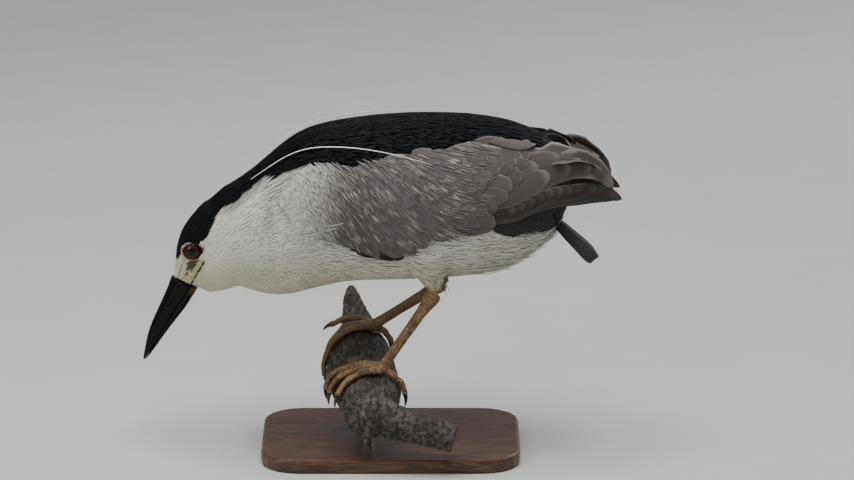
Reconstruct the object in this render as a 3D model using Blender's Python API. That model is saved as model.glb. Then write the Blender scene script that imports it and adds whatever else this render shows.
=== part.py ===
"""Black-crowned night heron, life size, stooping to strike from a cut branch on a small display stand.

The bird faces -X with its left side towards -Y. The origin is the centre of the base's underside.
Sizes are written in millimetres and turned to metres where the meshes are made.
"""

import math

import bmesh
import bpy
from mathutils import Matrix, Vector

MM = 0.001
GAP = 0.3  # between neighbouring pieces
LEFT, RIGHT = -1, 1

# Display stand
BASE_LENGTH, BASE_WIDTH, BASE_HEIGHT, BASE_CORNER, BASE_EDGE = 224, 158, 12, 34, 2.5
ROD_RADIUS = 5
ROD_PLACES = (-24, 34)  # along Y, under the branch

# Branch, in sections square to Y: y, centre x, centre z, half width, half height
BRANCH = (
    (-84, -17, 46, 8, 9),
    (-78, -17.5, 47, 15.5, 15.5),
    (-66, -18, 48.5, 20.5, 20.5),
    (-50, -18.5, 51.5, 25.5, 22.5),
    (-32, -19.5, 55, 29, 23),
    (-8, -23, 59.5, 31.5, 23.5),
    (16, -25.5, 63.5, 31.5, 23.5),
    (36, -26, 68, 29, 22.8),
    (48, -26.3, 71.5, 26, 22),
    (62, -27, 77.5, 20.5, 19),
    (76, -29.5, 87, 14.8, 15.5),
    (88, -33, 98, 10.8, 12),
    (98, -35.5, 108, 7.8, 8.5),
    (104, -36.2, 114, 4, 4.5),
)
# Cut side branch, along its axis: x, y, z, radius
SIDE_BRANCH = (
    (-18, -54, 50, 17),
    (2, -70, 44.5, 16),
    (22, -75, 40, 14.2),
    (40, -77, 35.5, 13),
    (55, -79, 31.5, 12.6),
)

# Trunk and neck, in upright sections: x, top z, bottom z, half width
TRUNK = (
    (-169, 198, 146, 10),
    (-162, 215, 141, 16),
    (-154, 226, 140.5, 21),
    (-143, 235, 143, 26),
    (-130, 242.5, 147, 30),
    (-118, 251.5, 142.5, 33.5),
    (-104, 263.5, 139.5, 38),
    (-88, 277, 139.7, 43),
    (-70, 287, 144.5, 47),
    (-36, 294.5, 152, 51),
    (7, 299, 153.5, 53),
    (50, 299.5, 155.5, 51),
    (76, 298, 158, 47),
    (102, 293.5, 164, 40.5),
    (119, 287.5, 173, 33.5),
    (134, 280, 185, 25),
    (145, 269, 196, 15.5),
    (151, 255, 208, 9),
    (154.5, 240, 222, 3.5),
)
TRUNK_FULLNESS = 2.2  # exponent of the section's superellipse; 2 is a plain ellipse
TRUNK_RINGS, TRUNK_SEGMENTS = 27, 24
NECK_CUT_X = -104

# The rows that the folded wings lie along: the trunk's flanks, then on past the rump
FLANK = tuple(row for row in TRUNK if row[0] <= 76) + (
    (102, 291, 166, 42.5),
    (127, 292, 170, 39),
    (149, 292, 172, 36),
    (170, 292, 172, 33),
    (184, 292, 172, 28.5),
    (202, 292, 172, 20),
)
# Folded wing: x, upper edge z, lower edge z, how far it stands proud, thickness,
# how far it folds in over the rump from its upper edge
WING = (
    (-94, 240, 228, 0.8, 5, 1),
    (-89, 251, 217, 2, 6, 1),
    (-79, 261, 206, 3, 7, 1),
    (-62, 265, 199, 4.5, 8, 1),
    (-36, 266, 192, 5.5, 9, 1),
    (-14, 271, 184, 6, 9.5, 1),
    (7, 277, 181, 6, 9.5, 1),
    (24, 280, 187, 5.5, 9, 1),
    (50, 283, 197, 5, 9, 1),
    (76, 284, 200, 4.5, 9, 1),
    (102, 282, 203, 4, 8.5, 2),
    (120, 279, 212, 3.5, 8, 7),
    (140, 276, 221, 3, 7, 16),
    (155, 271.5, 223.5, 2.5, 6, 21),
    (170, 266, 225.5, 2.5, 5.5, 22),
    (184, 257.5, 226.3, 2, 4.5, 18),
    (190, 252, 226.3, 1.8, 3.6, 14),
    (194, 242, 226.2, 1.5, 2.6, 8),
    (196.5, 233.5, 226, 1.4, 2, 4),
    (201, 228, 225.8, 1.2, 1.4, 1),
)
WING_LEAST_FOLD = 0.6
WING_FOLD_DROP = 0.28  # fall of the folded-in part, as a share of its width
WING_RIM = 1.6  # how far the wing's edges stand proud of the flank
WING_RIM_THICK = 2.2
WING_RINGS = 25

# Head, in sections square to its axis, which runs from the bill's root back to the nape:
# distance from the root, rise of the crown, drop of the jaw, half width
BILL_ROOT = Vector((-181, 0, 144.7))
HEAD_PITCH = math.radians(62.5)  # the bill points this far below level
HEAD = (
    (6, 12.4, 12.4, 8.8),
    (13, 13.6, 14.5, 10.6),
    (20, 16, 16.5, 13),
    (28, 19.6, 19, 16),
    (36, 21.8, 20.5, 18),
    (45, 23, 21.5, 19.6),
    (54, 22.8, 21.5, 20),
    (65, 20.6, 19, 19),
    (75, 18.3, 13, 15),
    (82, 14, 5, 8),
)
HEAD_FULLNESS = 2.2
HEAD_RINGS, HEAD_SEGMENTS = 14, 22
HEAD_CUT_TOP, HEAD_CUT_FOOT = (-140, 232), (-158, 140)  # x and z where the throat cut starts and ends

# Bill, in sections square to the head's axis: distance beyond the root, culmen, cutting edge,
# lower outline, half width
BILL = (
    (-6, 12.2, -5.2, -12.3, 8.6),
    (4, 11.2, -4.6, -11.8, 8),
    (15, 10.4, -3.6, -10.9, 6.9),
    (27, 9.7, -2.8, -8.7, 5.9),
    (38, 9.1, -2.2, -6.8, 4.9),
    (49, 7.7, -1.7, -5.2, 3.8),
    (60, 4.9, -1.2, -3.8, 2.6),
    (68, 2.4, -0.9, -2.5, 1.6),
    (73, 0.9, -0.7, -1.3, 0.7),
)
LOWER_BILL_SHARE = 0.86  # its width, as a share of the upper half's
BILL_ROUNDNESS = 0.8  # below 1 its sides are fuller than an ellipse's

# Eyes: along the head's axis, above it, out to the side; radius in the plane of the lids and across it
EYE_BACK, EYE_RISE, EYE_OUT = 37, 7.4, 12.3
EYE_RADIUS, EYE_DEPTH = 8.8, 6.6

# Legs: heel joint for each side; shank as share of its length, radius fore and aft, radius across
HEELS = {LEFT: Vector((38.5, -24, 146)), RIGHT: Vector((45, 22, 142.5))}
SHANK = (
    (0, 5.8, 5),
    (0.04, 7.4, 6.2),
    (0.1, 7.2, 6),
    (0.2, 5.4, 4.6),
    (0.5, 4.6, 3.8),
    (0.85, 4.6, 3.9),
    (1, 5.2, 4.6),
)
TIBIA_RISE = Vector((-4, 0, 16))  # from the heel up into the thigh feathers
TIBIA_RADIUS = 6
THIGH = ((0, 8.6), (6, 11), (14, 15), (26, 21), (36, 24))  # distance up the thigh, radius
THIGH_LIFT = 7  # from the heel to the end of the thigh feathers
THIGH_SPLAY, THIGH_STEEPER = 2, 8  # how the thigh's axis leans from the shin's, out and up
FOOT_Y = {LEFT: -32, RIGHT: 48}
ANKLE_ANGLE = math.radians(21)  # where the toes meet, round the branch from its top
HUB_RADIUS = 5.6

# Toes, round the branch, for the left and the right foot: sideways start and end from the hub
# towards +Y, end angle, root and tip radius, how far the end stands off the bark
TOES = {
    LEFT: {
        "inner": (3.5, 15, -88, 3.6, 2.7, 0),
        "middle": (0, 1, -82, 3.8, 2.8, 0),
        "outer": (-3.5, -17, -68, 3.6, 2.7, 0),
        "hind": (-1, -3, 80, 3.5, 2.6, 0),
    },
    RIGHT: {
        "inner": (-3.5, -19, -112, 3.6, 2.7, 0),
        "middle": (0, -4, -112, 3.8, 2.8, 0),
        "outer": (3.5, 14, -58, 3.6, 2.7, 8),
        "hind": (1, 4, 92, 3.5, 2.6, 0),
    },
}
CLAW_LENGTH, CLAW_RADIUS, CLAW_HOOK = 11, 1.9, 3.4

# Tail fan: root and tip in the side view, then distance along, half width, thickness
TAIL_ROOT, TAIL_TIP = Vector((104, 0, 235)), Vector((177, 0, 167.5))
TAIL = ((12, 12, 8), (35, 18, 7), (60, 25, 5), (85, 30, 3.4), (94, 28, 2.6), (99, 21, 1.8))
TAIL_CROWN = 0.24  # arch of the fan, as a share of its half width

# Nape plumes: start x, end x, start and end angle from the top towards the left side,
# clearance from the coat at the start and the end, how far the middle arches up
PLUMES = {
    "plume_left": (-119, 36, 29, 62, 0.9, 7, 0.5),
    "plume_top": (-121, 22, 3, -4, 0.9, 0.6, 3.4),
    "plume_right": (-118, 4, -9, -14, 0.9, 0.6, 1.6),
}
PLUME_RADIUS = 0.55

COLOURS = {
    "black": (0.012, 0.014, 0.02),
    "grey": (0.33, 0.31, 0.31),
    "white": (0.72, 0.7, 0.58),
    "horn": (0.015, 0.015, 0.014),
    "eye": (0.25, 0.01, 0.01),
    "leg": (0.42, 0.27, 0.13),
    "bark": (0.13, 0.1, 0.08),
    "wood": (0.09, 0.05, 0.03),
    "steel": (0.45, 0.45, 0.46),
}
METALS = ("steel",)
GLOSSY = ("eye", "horn")


def clear_scene():
    for thing in list(bpy.data.objects):
        bpy.data.objects.remove(thing, do_unlink=True)


def new_collection(name):
    made = bpy.data.collections.new(name)
    bpy.context.scene.collection.children.link(made)
    return made


def material(colour):
    name = f"heron_{colour}"
    found = bpy.data.materials.get(name)
    if found:
        return found
    made = bpy.data.materials.new(name)
    made.use_nodes = True
    shader = made.node_tree.nodes["Principled BSDF"]
    shader.inputs["Base Color"].default_value = (*COLOURS[colour], 1)
    shader.inputs["Roughness"].default_value = 0.15 if colour in GLOSSY else 0.6
    shader.inputs["Metallic"].default_value = 1 if colour in METALS else 0
    return made


def smooth_row(rows, position):
    """The row of a table of sections at this position, read from a smooth curve through its rows."""
    positions = [row[0] for row in rows]
    position = min(max(position, positions[0]), positions[-1])
    i = max(k for k in range(len(rows) - 1) if positions[k] <= position)
    span = positions[i + 1] - positions[i]
    t = (position - positions[i]) / span
    before, after = rows[max(i - 1, 0)], rows[min(i + 2, len(rows) - 1)]
    values = [position]
    for column in range(1, len(rows[0])):
        a, b = rows[i][column], rows[i + 1][column]
        slope_a = (b - before[column]) / (positions[i + 1] - before[0]) * span
        slope_b = (after[column] - a) / (after[0] - positions[i]) * span
        values.append(
            a * (1 + 2 * t) * (1 - t) ** 2 + slope_a * t * (1 - t) ** 2
            + b * t * t * (3 - 2 * t) + slope_b * t * t * (t - 1)
        )
    return values


def spread(first, last, count):
    return [first + (last - first) * k / (count - 1) for k in range(count)]


def rounded(value, fullness):
    """A sine or cosine, bent so that the ring it makes is a superellipse."""
    return math.copysign(abs(value) ** (2 / fullness), value)


def oval_ring(centre, side, up, half_width, rise, drop, fullness, segments):
    """A ring that reaches half_width to each side, rise above its centre and drop below it."""
    ring = []
    for k in range(segments):
        angle = 2 * math.pi * k / segments
        across = half_width * rounded(math.sin(angle), fullness)
        height = rounded(math.cos(angle), fullness)
        ring.append(centre + side * across + up * height * (rise if height > 0 else drop))
    return ring


def add_object(name, mesh, collection, colour):
    made = bpy.data.objects.new(name, mesh)
    collection.objects.link(made)
    if colour:
        made.data.materials.append(material(colour))
    return made


def loft(name, rings, collection, colour=None):
    """A closed mesh through rings of points in millimetres, with a flat cap at each end."""
    bm = bmesh.new()
    loops = [[bm.verts.new(point * MM) for point in ring] for ring in rings]
    for one, two in zip(loops, loops[1:]):
        for k in range(len(one)):
            bm.faces.new((one[k - 1], one[k], two[k], two[k - 1]))
    bm.faces.new(loops[0])
    bm.faces.new(loops[-1][::-1])
    bmesh.ops.recalc_face_normals(bm, faces=bm.faces)
    mesh = bpy.data.meshes.new(name)
    bm.to_mesh(mesh)
    bm.free()
    mesh.shade_smooth()
    return add_object(name, mesh, collection, colour)


def as_cutter(thing):
    thing.hide_render = True
    thing.display_type = "WIRE"
    return thing


def grown(thing, cutters):
    """A copy that stands out from the piece by the gap, to cut its neighbours with."""
    bpy.context.view_layer.update()
    graph = bpy.context.evaluated_depsgraph_get()
    mesh = bpy.data.meshes.new_from_object(thing.evaluated_get(graph))
    copy = add_object(f"{thing.name}_grown", mesh, cutters, None)
    skin = copy.modifiers.new("stand_off", "DISPLACE")
    skin.strength = GAP * MM
    skin.mid_level = 0
    return as_cutter(copy)


def boolean(thing, other, operation):
    step = thing.modifiers.new(f"{operation.lower()}_{other.name}", "BOOLEAN")
    step.operation = operation
    step.object = other


def box_cutter(name, corner_low, corner_high, cutters, turn=None, about=None):
    bm = bmesh.new()
    bmesh.ops.create_cube(bm, size=1)
    low, high = Vector(corner_low) * MM, Vector(corner_high) * MM
    bmesh.ops.scale(bm, verts=bm.verts, vec=high - low)
    bmesh.ops.translate(bm, verts=bm.verts, vec=(high + low) / 2)
    if turn is not None:
        pivot = Vector(about) * MM
        bmesh.ops.rotate(bm, verts=bm.verts, cent=pivot, matrix=Matrix.Rotation(turn, 3, "Y"))
    mesh = bpy.data.meshes.new(name)
    bm.to_mesh(mesh)
    bm.free()
    return as_cutter(add_object(name, mesh, cutters, None))


def trunk_loft(name, collection, colour):
    rings = []
    for x in spread(TRUNK[0][0], TRUNK[-1][0], TRUNK_RINGS):
        _, top, bottom, half_width = smooth_row(TRUNK, x)
        centre = Vector((x, 0, (top + bottom) / 2))
        half = (top - bottom) / 2
        side, up = Vector((0, 1, 0)), Vector((0, 0, 1))
        rings.append(oval_ring(centre, side, up, half_width, half, half, TRUNK_FULLNESS, TRUNK_SEGMENTS))
    return loft(name, rings, collection, colour)


def head_axes():
    """The way the bill points, and the way from the jaw to the crown."""
    ahead = Vector((-math.cos(HEAD_PITCH), 0, -math.sin(HEAD_PITCH)))
    crown = Vector((-math.sin(HEAD_PITCH), 0, math.cos(HEAD_PITCH)))
    return ahead, crown


def head_loft(name, collection):
    ahead, crown = head_axes()
    rings = []
    side = Vector((0, 1, 0))
    for distance in spread(HEAD[0][0], HEAD[-1][0], HEAD_RINGS):
        _, rise, drop, half_width = smooth_row(HEAD, distance)
        centre = BILL_ROOT - ahead * distance
        rings.append(oval_ring(centre, side, crown, half_width, rise, drop, HEAD_FULLNESS, HEAD_SEGMENTS))
    return as_cutter(loft(name, rings, collection))


def half_oval_ring(centre, crown, half_width, flat, far, segments):
    """A ring with a flat side at height flat and a round one that reaches to height far."""
    ring = []
    for k in range(segments):
        angle = math.pi * k / (segments - 1)
        across = Vector((0, half_width * math.cos(angle), 0))
        ring.append(centre + across + crown * (flat + (far - flat) * math.sin(angle) ** BILL_ROUNDNESS))
    return ring


def bill_half(name, upper, collection):
    ahead, crown = head_axes()
    rings = []
    for distance in spread(BILL[0][0] + GAP, BILL[-1][0], 12):
        _, culmen, edge, lower, half_width = smooth_row(BILL, distance)
        centre = BILL_ROOT + ahead * distance
        if upper:
            flat, far = edge + GAP / 2, culmen
        else:
            flat, far = edge - GAP / 2, lower
            half_width *= LOWER_BILL_SHARE
        rings.append(half_oval_ring(centre, crown, half_width, flat, far, 11))
    return loft(name, rings, collection, "horn")


def eye(name, side, collection):
    ahead, crown = head_axes()
    bm = bmesh.new()
    bmesh.ops.create_uvsphere(bm, u_segments=14, v_segments=8, radius=EYE_RADIUS * MM)
    bmesh.ops.scale(bm, verts=bm.verts, vec=(1, 1, EYE_DEPTH / EYE_RADIUS))
    bmesh.ops.rotate(bm, verts=bm.verts, cent=(0, 0, 0), matrix=Matrix.Rotation(math.pi / 2, 3, "X"))
    mesh = bpy.data.meshes.new(name)
    bm.to_mesh(mesh)
    bm.free()
    mesh.shade_smooth()
    made = add_object(name, mesh, collection, "eye")
    made.location = (BILL_ROOT - ahead * EYE_BACK + crown * EYE_RISE + Vector((0, side * EYE_OUT, 0))) * MM
    return made


def side_width(rows, x, z):
    """The half width of the form that these rows describe, at this place."""
    _, top, bottom, half_width = smooth_row(rows, x)
    height = abs(z - (top + bottom) / 2) / ((top - bottom) / 2)
    return half_width * (1 - min(height, 0.98) ** TRUNK_FULLNESS) ** (1 / TRUNK_FULLNESS)


def flank_width(x, z):
    """How far out the flank that a wing lies on is at this place."""
    beside_trunk = side_width(TRUNK, x, z) if x < TRUNK[-1][0] - 10 else 0
    return max(side_width(FLANK, x, z), beside_trunk)


def wing_section(x):
    """The wing's line at this x, up from its lower edge and in over the back: outside, then inside."""
    _, upper, lower, proud, thick, fold = smooth_row(WING, x)
    rim = min(WING_RIM_THICK, thick)
    outside, inside = [], []
    for u in spread(0, 1, 7):
        z = lower + (upper - lower) * u
        arch = math.sin(math.pi * u) ** 0.7 if 0 < u < 1 else 0
        out = flank_width(x, z) + WING_RIM + (proud - WING_RIM) * arch
        outside.append((out, z))
        inside.append((out - rim - max(thick - rim, 0) * arch, z))
    fold = max(fold, rim + WING_LEAST_FOLD)
    out, z = outside[-1]
    inside[-1] = (out - rim, z - rim)
    outside.append((out - fold, z - WING_FOLD_DROP * fold))
    inside.append((out - fold, z - WING_FOLD_DROP * fold - rim))
    return outside, inside


def wing(name, side, collection):
    rings = []
    for x in spread(WING[0][0], WING[-1][0], WING_RINGS):
        outside, inside = wing_section(x)
        rings.append([Vector((x, side * y, z)) for y, z in outside + inside[::-1]])
    return loft(name, rings, collection, "grey")


def tail(name, collection):
    along = (TAIL_TIP - TAIL_ROOT).normalized()
    up = Vector((0, -1, 0)).cross(along)
    rings = []
    across = 7
    for distance in spread(TAIL[0][0], TAIL[-1][0], 10):
        _, half_width, thick = smooth_row(TAIL, distance)
        centre = TAIL_ROOT + along * distance
        top, under = [], []
        for u in spread(-1, 1, across):
            crown = TAIL_CROWN * half_width * (1 - u * u)
            edge = thick / 2 * (1 - 0.6 * u * u)
            middle = centre + Vector((0, half_width * u, 0)) + up * crown
            top.append(middle + up * edge)
            under.append(middle - up * edge)
        rings.append(top + under[::-1])
    return loft(name, rings, collection, "grey")


def bark_point(y, angle):
    """A point of the bark at an angle from the branch's top towards +X, with shallow swellings."""
    _, x, z, half_width, half_height = smooth_row(BRANCH, y)
    swell = 1 + 0.03 * math.sin(3 * angle + y / 23) + 0.02 * math.sin(5 * angle - y / 17)
    return Vector((x + half_width * swell * math.sin(angle), y, z + half_height * swell * math.cos(angle)))


def on_branch(y, angle, clearance):
    """A point this far off the bark, measured square to it."""
    step = 0.02
    along = bark_point(y + 1, angle) - bark_point(y - 1, angle)
    around = bark_point(y, angle + step) - bark_point(y, angle - step)
    return bark_point(y, angle) + around.cross(along).normalized() * clearance


def branch(name, collection, cutters):
    """The stub that the feet grip, joined to the short cut length that carried it."""
    segments = 18
    rings = [
        [bark_point(y, 2 * math.pi * k / segments) for k in range(segments)]
        for y in spread(BRANCH[0][0], BRANCH[-1][0], 20)
    ]
    stub = loft(name, rings, collection, "bark")
    path = [Vector(row[:3]) for row in SIDE_BRANCH]
    radii = [row[3] for row in SIDE_BRANCH]
    arm = tube_loft(f"{name}_arm", path, radii, cutters, None, segments=12)
    boolean(stub, as_cutter(arm), "UNION")
    return stub


def tube_loft(name, path, radii, collection, colour, segments=12, squash=None):
    """A tube along a path, with a radius at each point; squash narrows it from side to side."""
    rings = []
    for k, point in enumerate(path):
        along = (path[min(k + 1, len(path) - 1)] - path[max(k - 1, 0)]).normalized()
        if abs(along.y) < 0.8:
            side = (Vector((0, 1, 0)) - along * along.y).normalized()
        else:
            side = along.cross(Vector((0, 0, 1))).normalized()
        up = side.cross(along)
        width = radii[k] if squash is None else squash[k]
        rings.append(oval_ring(point, side, up, width, radii[k], radii[k], 2, segments))
    return loft(name, rings, collection, colour)


def hub_centre(side):
    return on_branch(FOOT_Y[side], ANKLE_ANGLE, HUB_RADIUS + GAP)


def toe_path(side, toe, count):
    """Points from the hub round the branch to the toe's end, with the toe's radius at each."""
    start_y, end_y, end_angle, root, tip, end_lift = TOES[side][toe]
    path, radii = [], []
    for share in spread(0, 1, count):
        angle = ANKLE_ANGLE + (math.radians(end_angle) - ANKLE_ANGLE) * share
        y = FOOT_Y[side] + start_y + (end_y - start_y) * share
        radius = root + (tip - root) * share
        pad = 0.35 * math.cos(6 * math.pi * share)  # the joints stand out a little
        lift = (HUB_RADIUS - root) * (1 - share) ** 3 + end_lift * share ** 1.5
        path.append(on_branch(y, angle, radius + pad + lift + GAP))
        radii.append(radius + pad)
    return path, radii


def hub(name, side, collection, colour=None):
    bm = bmesh.new()
    bmesh.ops.create_icosphere(bm, subdivisions=2, radius=HUB_RADIUS * MM)
    bmesh.ops.translate(bm, verts=bm.verts, vec=hub_centre(side) * MM)
    mesh = bpy.data.meshes.new(name)
    bm.to_mesh(mesh)
    bm.free()
    mesh.shade_smooth()
    return add_object(name, mesh, collection, colour)


def foot(side, name, collection, cutters):
    """The hub with its four toes in one solid, and a claw beyond each toe.

    Returns copies of the hub and toes grown by the gap, to end the shank with."""
    made = hub(f"foot_{name}", side, collection, "leg")
    grown_forms = [grown(as_cutter(hub(f"hub_{name}", side, cutters)), cutters)]
    for toe in TOES[side]:
        path, radii = toe_path(side, toe, 9)
        part = as_cutter(tube_loft(f"toe_{name}_{toe}", path, radii, cutters, None, segments=7))
        grown_forms.append(grown(part, cutters))
        boolean(made, part, "UNION")
        claw(name, toe, path, collection)
    return grown_forms


def claw(name, toe, toe_points, collection):
    """A tapering hook that runs on from the toe and bends in towards the branch."""
    end, before = toe_points[-1], toe_points[-2]
    ahead = (end - before).normalized()
    _, x, z, _, _ = smooth_row(BRANCH, end.y)
    inward = (Vector((x, end.y, z)) - end).normalized()
    path, radii = [], []
    for share in spread(0, 1, 6):
        path.append(end + ahead * (GAP + CLAW_LENGTH * share) + inward * (CLAW_HOOK * share * share))
        radii.append(CLAW_RADIUS * (1 - share) ** 0.8 + 0.28)
    return tube_loft(f"claw_{name}_{toe}", path, radii, collection, "horn", segments=6)


def shank(side, name, collection, cutters):
    """Bare skin from inside the thigh feathers over the heel joint down to the toes."""
    heel, hub = HEELS[side], hub_centre(side)
    shares = (0, 0.04, 0.1, 0.17, 0.3, 0.6, 0.88, 1)
    rows = [smooth_row(SHANK, share) for share in shares]
    path = [heel.lerp(hub, share) for share in shares]
    deep = [row[1] for row in rows]
    wide = [row[2] for row in rows]
    made = tube_loft(f"shank_{name}", path, deep, collection, "leg", segments=10, squash=wide)
    tibia_path = [heel + TIBIA_RISE, heel]
    tibia = tube_loft(f"tibia_{name}", tibia_path, [TIBIA_RADIUS] * 2, cutters, None, segments=10)
    boolean(made, as_cutter(tibia), "UNION")
    return made


def thigh(side, name, collection):
    up = (TIBIA_RISE + Vector((0, side * THIGH_SPLAY, THIGH_STEEPER))).normalized()
    start = HEELS[side] + up * THIGH_LIFT
    path, radii = [], []
    for distance in spread(0, THIGH[-1][0], 9):
        path.append(start + up * distance)
        radii.append(smooth_row(THIGH, distance)[1])
    return tube_loft(f"thigh_{name}", path, radii, collection, "white", segments=14)


def plume(name, sizes, collection):
    """A long thin feather that starts at the nape and arches over the back."""
    start_x, end_x, start_angle, end_angle, start_clear, end_clear, arch = sizes
    data = bpy.data.curves.new(name, "CURVE")
    data.dimensions = "3D"
    data.bevel_depth = PLUME_RADIUS * MM
    data.bevel_resolution = 1
    data.use_fill_caps = True
    points = []
    for share in spread(0, 1, 13):
        x = start_x + (end_x - start_x) * share
        angle = math.radians(start_angle + (end_angle - start_angle) * share ** 1.3)
        _, top, bottom, half_width = smooth_row(TRUNK, x)
        clear = start_clear + (end_clear - start_clear) * share ** 2 + arch * math.sin(math.pi * share)
        y = -half_width * rounded(math.sin(angle), TRUNK_FULLNESS)
        z = (top + bottom) / 2 + (top - bottom) / 2 * rounded(math.cos(angle), TRUNK_FULLNESS)
        out = Vector((-0.35 * (1 - share) ** 2, -math.sin(angle), math.cos(angle))).normalized()
        points.append((Vector((x, y, z)) + out * (clear + PLUME_RADIUS)) * MM)
    line = data.splines.new("POLY")
    line.points.add(len(points) - 1)
    for slot, point in zip(line.points, points):
        slot.co = (*point, 1)
    made = bpy.data.objects.new(name, data)
    collection.objects.link(made)
    data.materials.append(material("white"))
    return made


def base(name, collection):
    """A flat plate with round corners and a small bevel."""
    data = bpy.data.curves.new(name, "CURVE")
    data.dimensions = "2D"
    data.fill_mode = "BOTH"
    data.extrude = (BASE_HEIGHT / 2 - BASE_EDGE) * MM
    data.bevel_depth = BASE_EDGE * MM
    data.bevel_resolution = 1
    points = []
    reach_x, reach_y = BASE_LENGTH / 2 - BASE_CORNER, BASE_WIDTH / 2 - BASE_CORNER
    corner = BASE_CORNER - BASE_EDGE
    for turn, (sx, sy) in enumerate(((1, 1), (-1, 1), (-1, -1), (1, -1))):
        for step in spread(0, 90, 6):
            angle = math.radians(90 * turn + step)
            points.append((sx * reach_x + corner * math.cos(angle), sy * reach_y + corner * math.sin(angle)))
    line = data.splines.new("POLY")
    line.points.add(len(points) - 1)
    for slot, (x, y) in zip(line.points, points):
        slot.co = (x * MM, y * MM, 0, 1)
    line.use_cyclic_u = True
    made = bpy.data.objects.new(name, data)
    collection.objects.link(made)
    data.materials.append(material("wood"))
    made.location = (0, 0, BASE_HEIGHT / 2 * MM)
    return made


def rod(name, y, collection, branch_grown):
    _, x, z, _, _ = smooth_row(BRANCH, y)
    foot_z = BASE_HEIGHT + GAP
    middle = Vector((x, y, (z + foot_z) / 2)) * MM
    bpy.ops.mesh.primitive_cylinder_add(
        vertices=18, radius=ROD_RADIUS * MM, depth=(z - foot_z) * MM, location=middle
    )
    made = bpy.context.object
    made.name = made.data.name = name
    for owner in list(made.users_collection):
        owner.objects.unlink(made)
    collection.objects.link(made)
    made.data.materials.append(material("steel"))
    made.data.shade_smooth()
    made.data.set_sharp_from_angle(angle=math.radians(40))
    boolean(made, branch_grown, "DIFFERENCE")
    return made


def body_parts(parts, cutters):
    """Head, neck and trunk, cut from one form by two thin cuts. Returns that form, grown by the gap."""
    head_form = head_loft("head_form", cutters)
    whole = as_cutter(trunk_loft("body_form", cutters, None))
    boolean(whole, head_form, "UNION")
    whole_grown = grown(whole, cutters)

    top, foot_end = HEAD_CUT_TOP, HEAD_CUT_FOOT
    tilt = math.atan2(top[0] - foot_end[0], top[1] - foot_end[1])
    pivot = (top[0], 0, top[1])
    ahead_of_cut = box_cutter(
        "head_side", (top[0] - 200, -80, 0), (top[0] - GAP / 2, 80, 400), cutters, tilt, pivot
    )
    behind_cut = box_cutter(
        "throat_side", (top[0] + GAP / 2, -80, -100), (top[0] + 500, 80, 500), cutters, tilt, pivot
    )
    ahead_of_trunk = box_cutter("neck_side", (-400, -80, 0), (NECK_CUT_X - GAP / 2, 80, 400), cutters)
    behind_neck = box_cutter("trunk_side", (NECK_CUT_X + GAP / 2, -80, 0), (400, 80, 400), cutters)

    head = trunk_loft("head", parts, "white")
    boolean(head, head_form, "UNION")
    boolean(head, ahead_of_cut, "INTERSECT")
    neck = trunk_loft("neck", parts, "white")
    boolean(neck, head_form, "UNION")
    boolean(neck, behind_cut, "INTERSECT")
    boolean(neck, ahead_of_trunk, "INTERSECT")
    trunk = trunk_loft("trunk", parts, "white")
    boolean(trunk, behind_neck, "INTERSECT")
    for side, name in ((LEFT, "left"), (RIGHT, "right")):
        ball = eye(f"eye_{name}", side, parts)
        boolean(head, grown_at_place(ball, cutters), "DIFFERENCE")
    return whole_grown


def grown_at_place(thing, cutters):
    copy = grown(thing, cutters)
    copy.matrix_world = thing.matrix_world
    return copy


def main():
    clear_scene()
    parts = new_collection("night_heron")
    cutters = new_collection("cutters")

    body_grown = body_parts(parts, cutters)
    bill_half("bill_upper", True, parts)
    bill_half("bill_lower", False, parts)
    for side, name in ((LEFT, "left"), (RIGHT, "right")):
        folded = wing(f"wing_{name}", side, parts)
        folded_grown = grown(folded, cutters)
        boolean(folded, body_grown, "DIFFERENCE")
        upper_leg = thigh(side, name, parts)
        lower_leg = shank(side, name, parts, cutters)
        for form in foot(side, name, parts, cutters) + [grown(upper_leg, cutters)]:
            boolean(lower_leg, form, "DIFFERENCE")
        boolean(upper_leg, body_grown, "DIFFERENCE")
        boolean(upper_leg, folded_grown, "DIFFERENCE")
    boolean(tail("tail", parts), body_grown, "DIFFERENCE")
    for name, sizes in PLUMES.items():
        plume(name, sizes, parts)

    perch = branch("perch", parts, cutters)
    perch_grown = grown(perch, cutters)
    base("stand_base", parts)
    for number, y in enumerate(ROD_PLACES, start=1):
        rod(f"stand_rod_{number}", y, parts, perch_grown)


main()
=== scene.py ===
"""Looks of a life-size black-crowned night heron that stoops on a cut branch over a small display base.

The file is laid out as a Blender add-on and is run as a script. The frame gives every place; lengths are in
millimetres until a mesh is made. The bird faces -X with its left side towards -Y.
"""

import itertools
import math
from functools import cache

import bmesh
import bpy
import numpy as np
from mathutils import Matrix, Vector, noise
from mathutils.bvhtree import BVHTree


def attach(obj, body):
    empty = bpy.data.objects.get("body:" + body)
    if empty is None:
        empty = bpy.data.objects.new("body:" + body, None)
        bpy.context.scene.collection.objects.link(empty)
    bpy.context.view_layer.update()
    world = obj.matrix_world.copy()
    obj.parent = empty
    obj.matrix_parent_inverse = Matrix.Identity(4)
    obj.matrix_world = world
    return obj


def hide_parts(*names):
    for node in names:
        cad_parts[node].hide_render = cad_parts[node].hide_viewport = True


bl_info = {
    "name": "Night heron",
    "version": (1, 0, 0),
    "blender": (4, 5, 0),
    "location": "3D View > Sidebar > Heron",
    "description": "Skin, plumage, horn, eyes, branch and stand of a museum night heron",
    "category": "Object",
}

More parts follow.
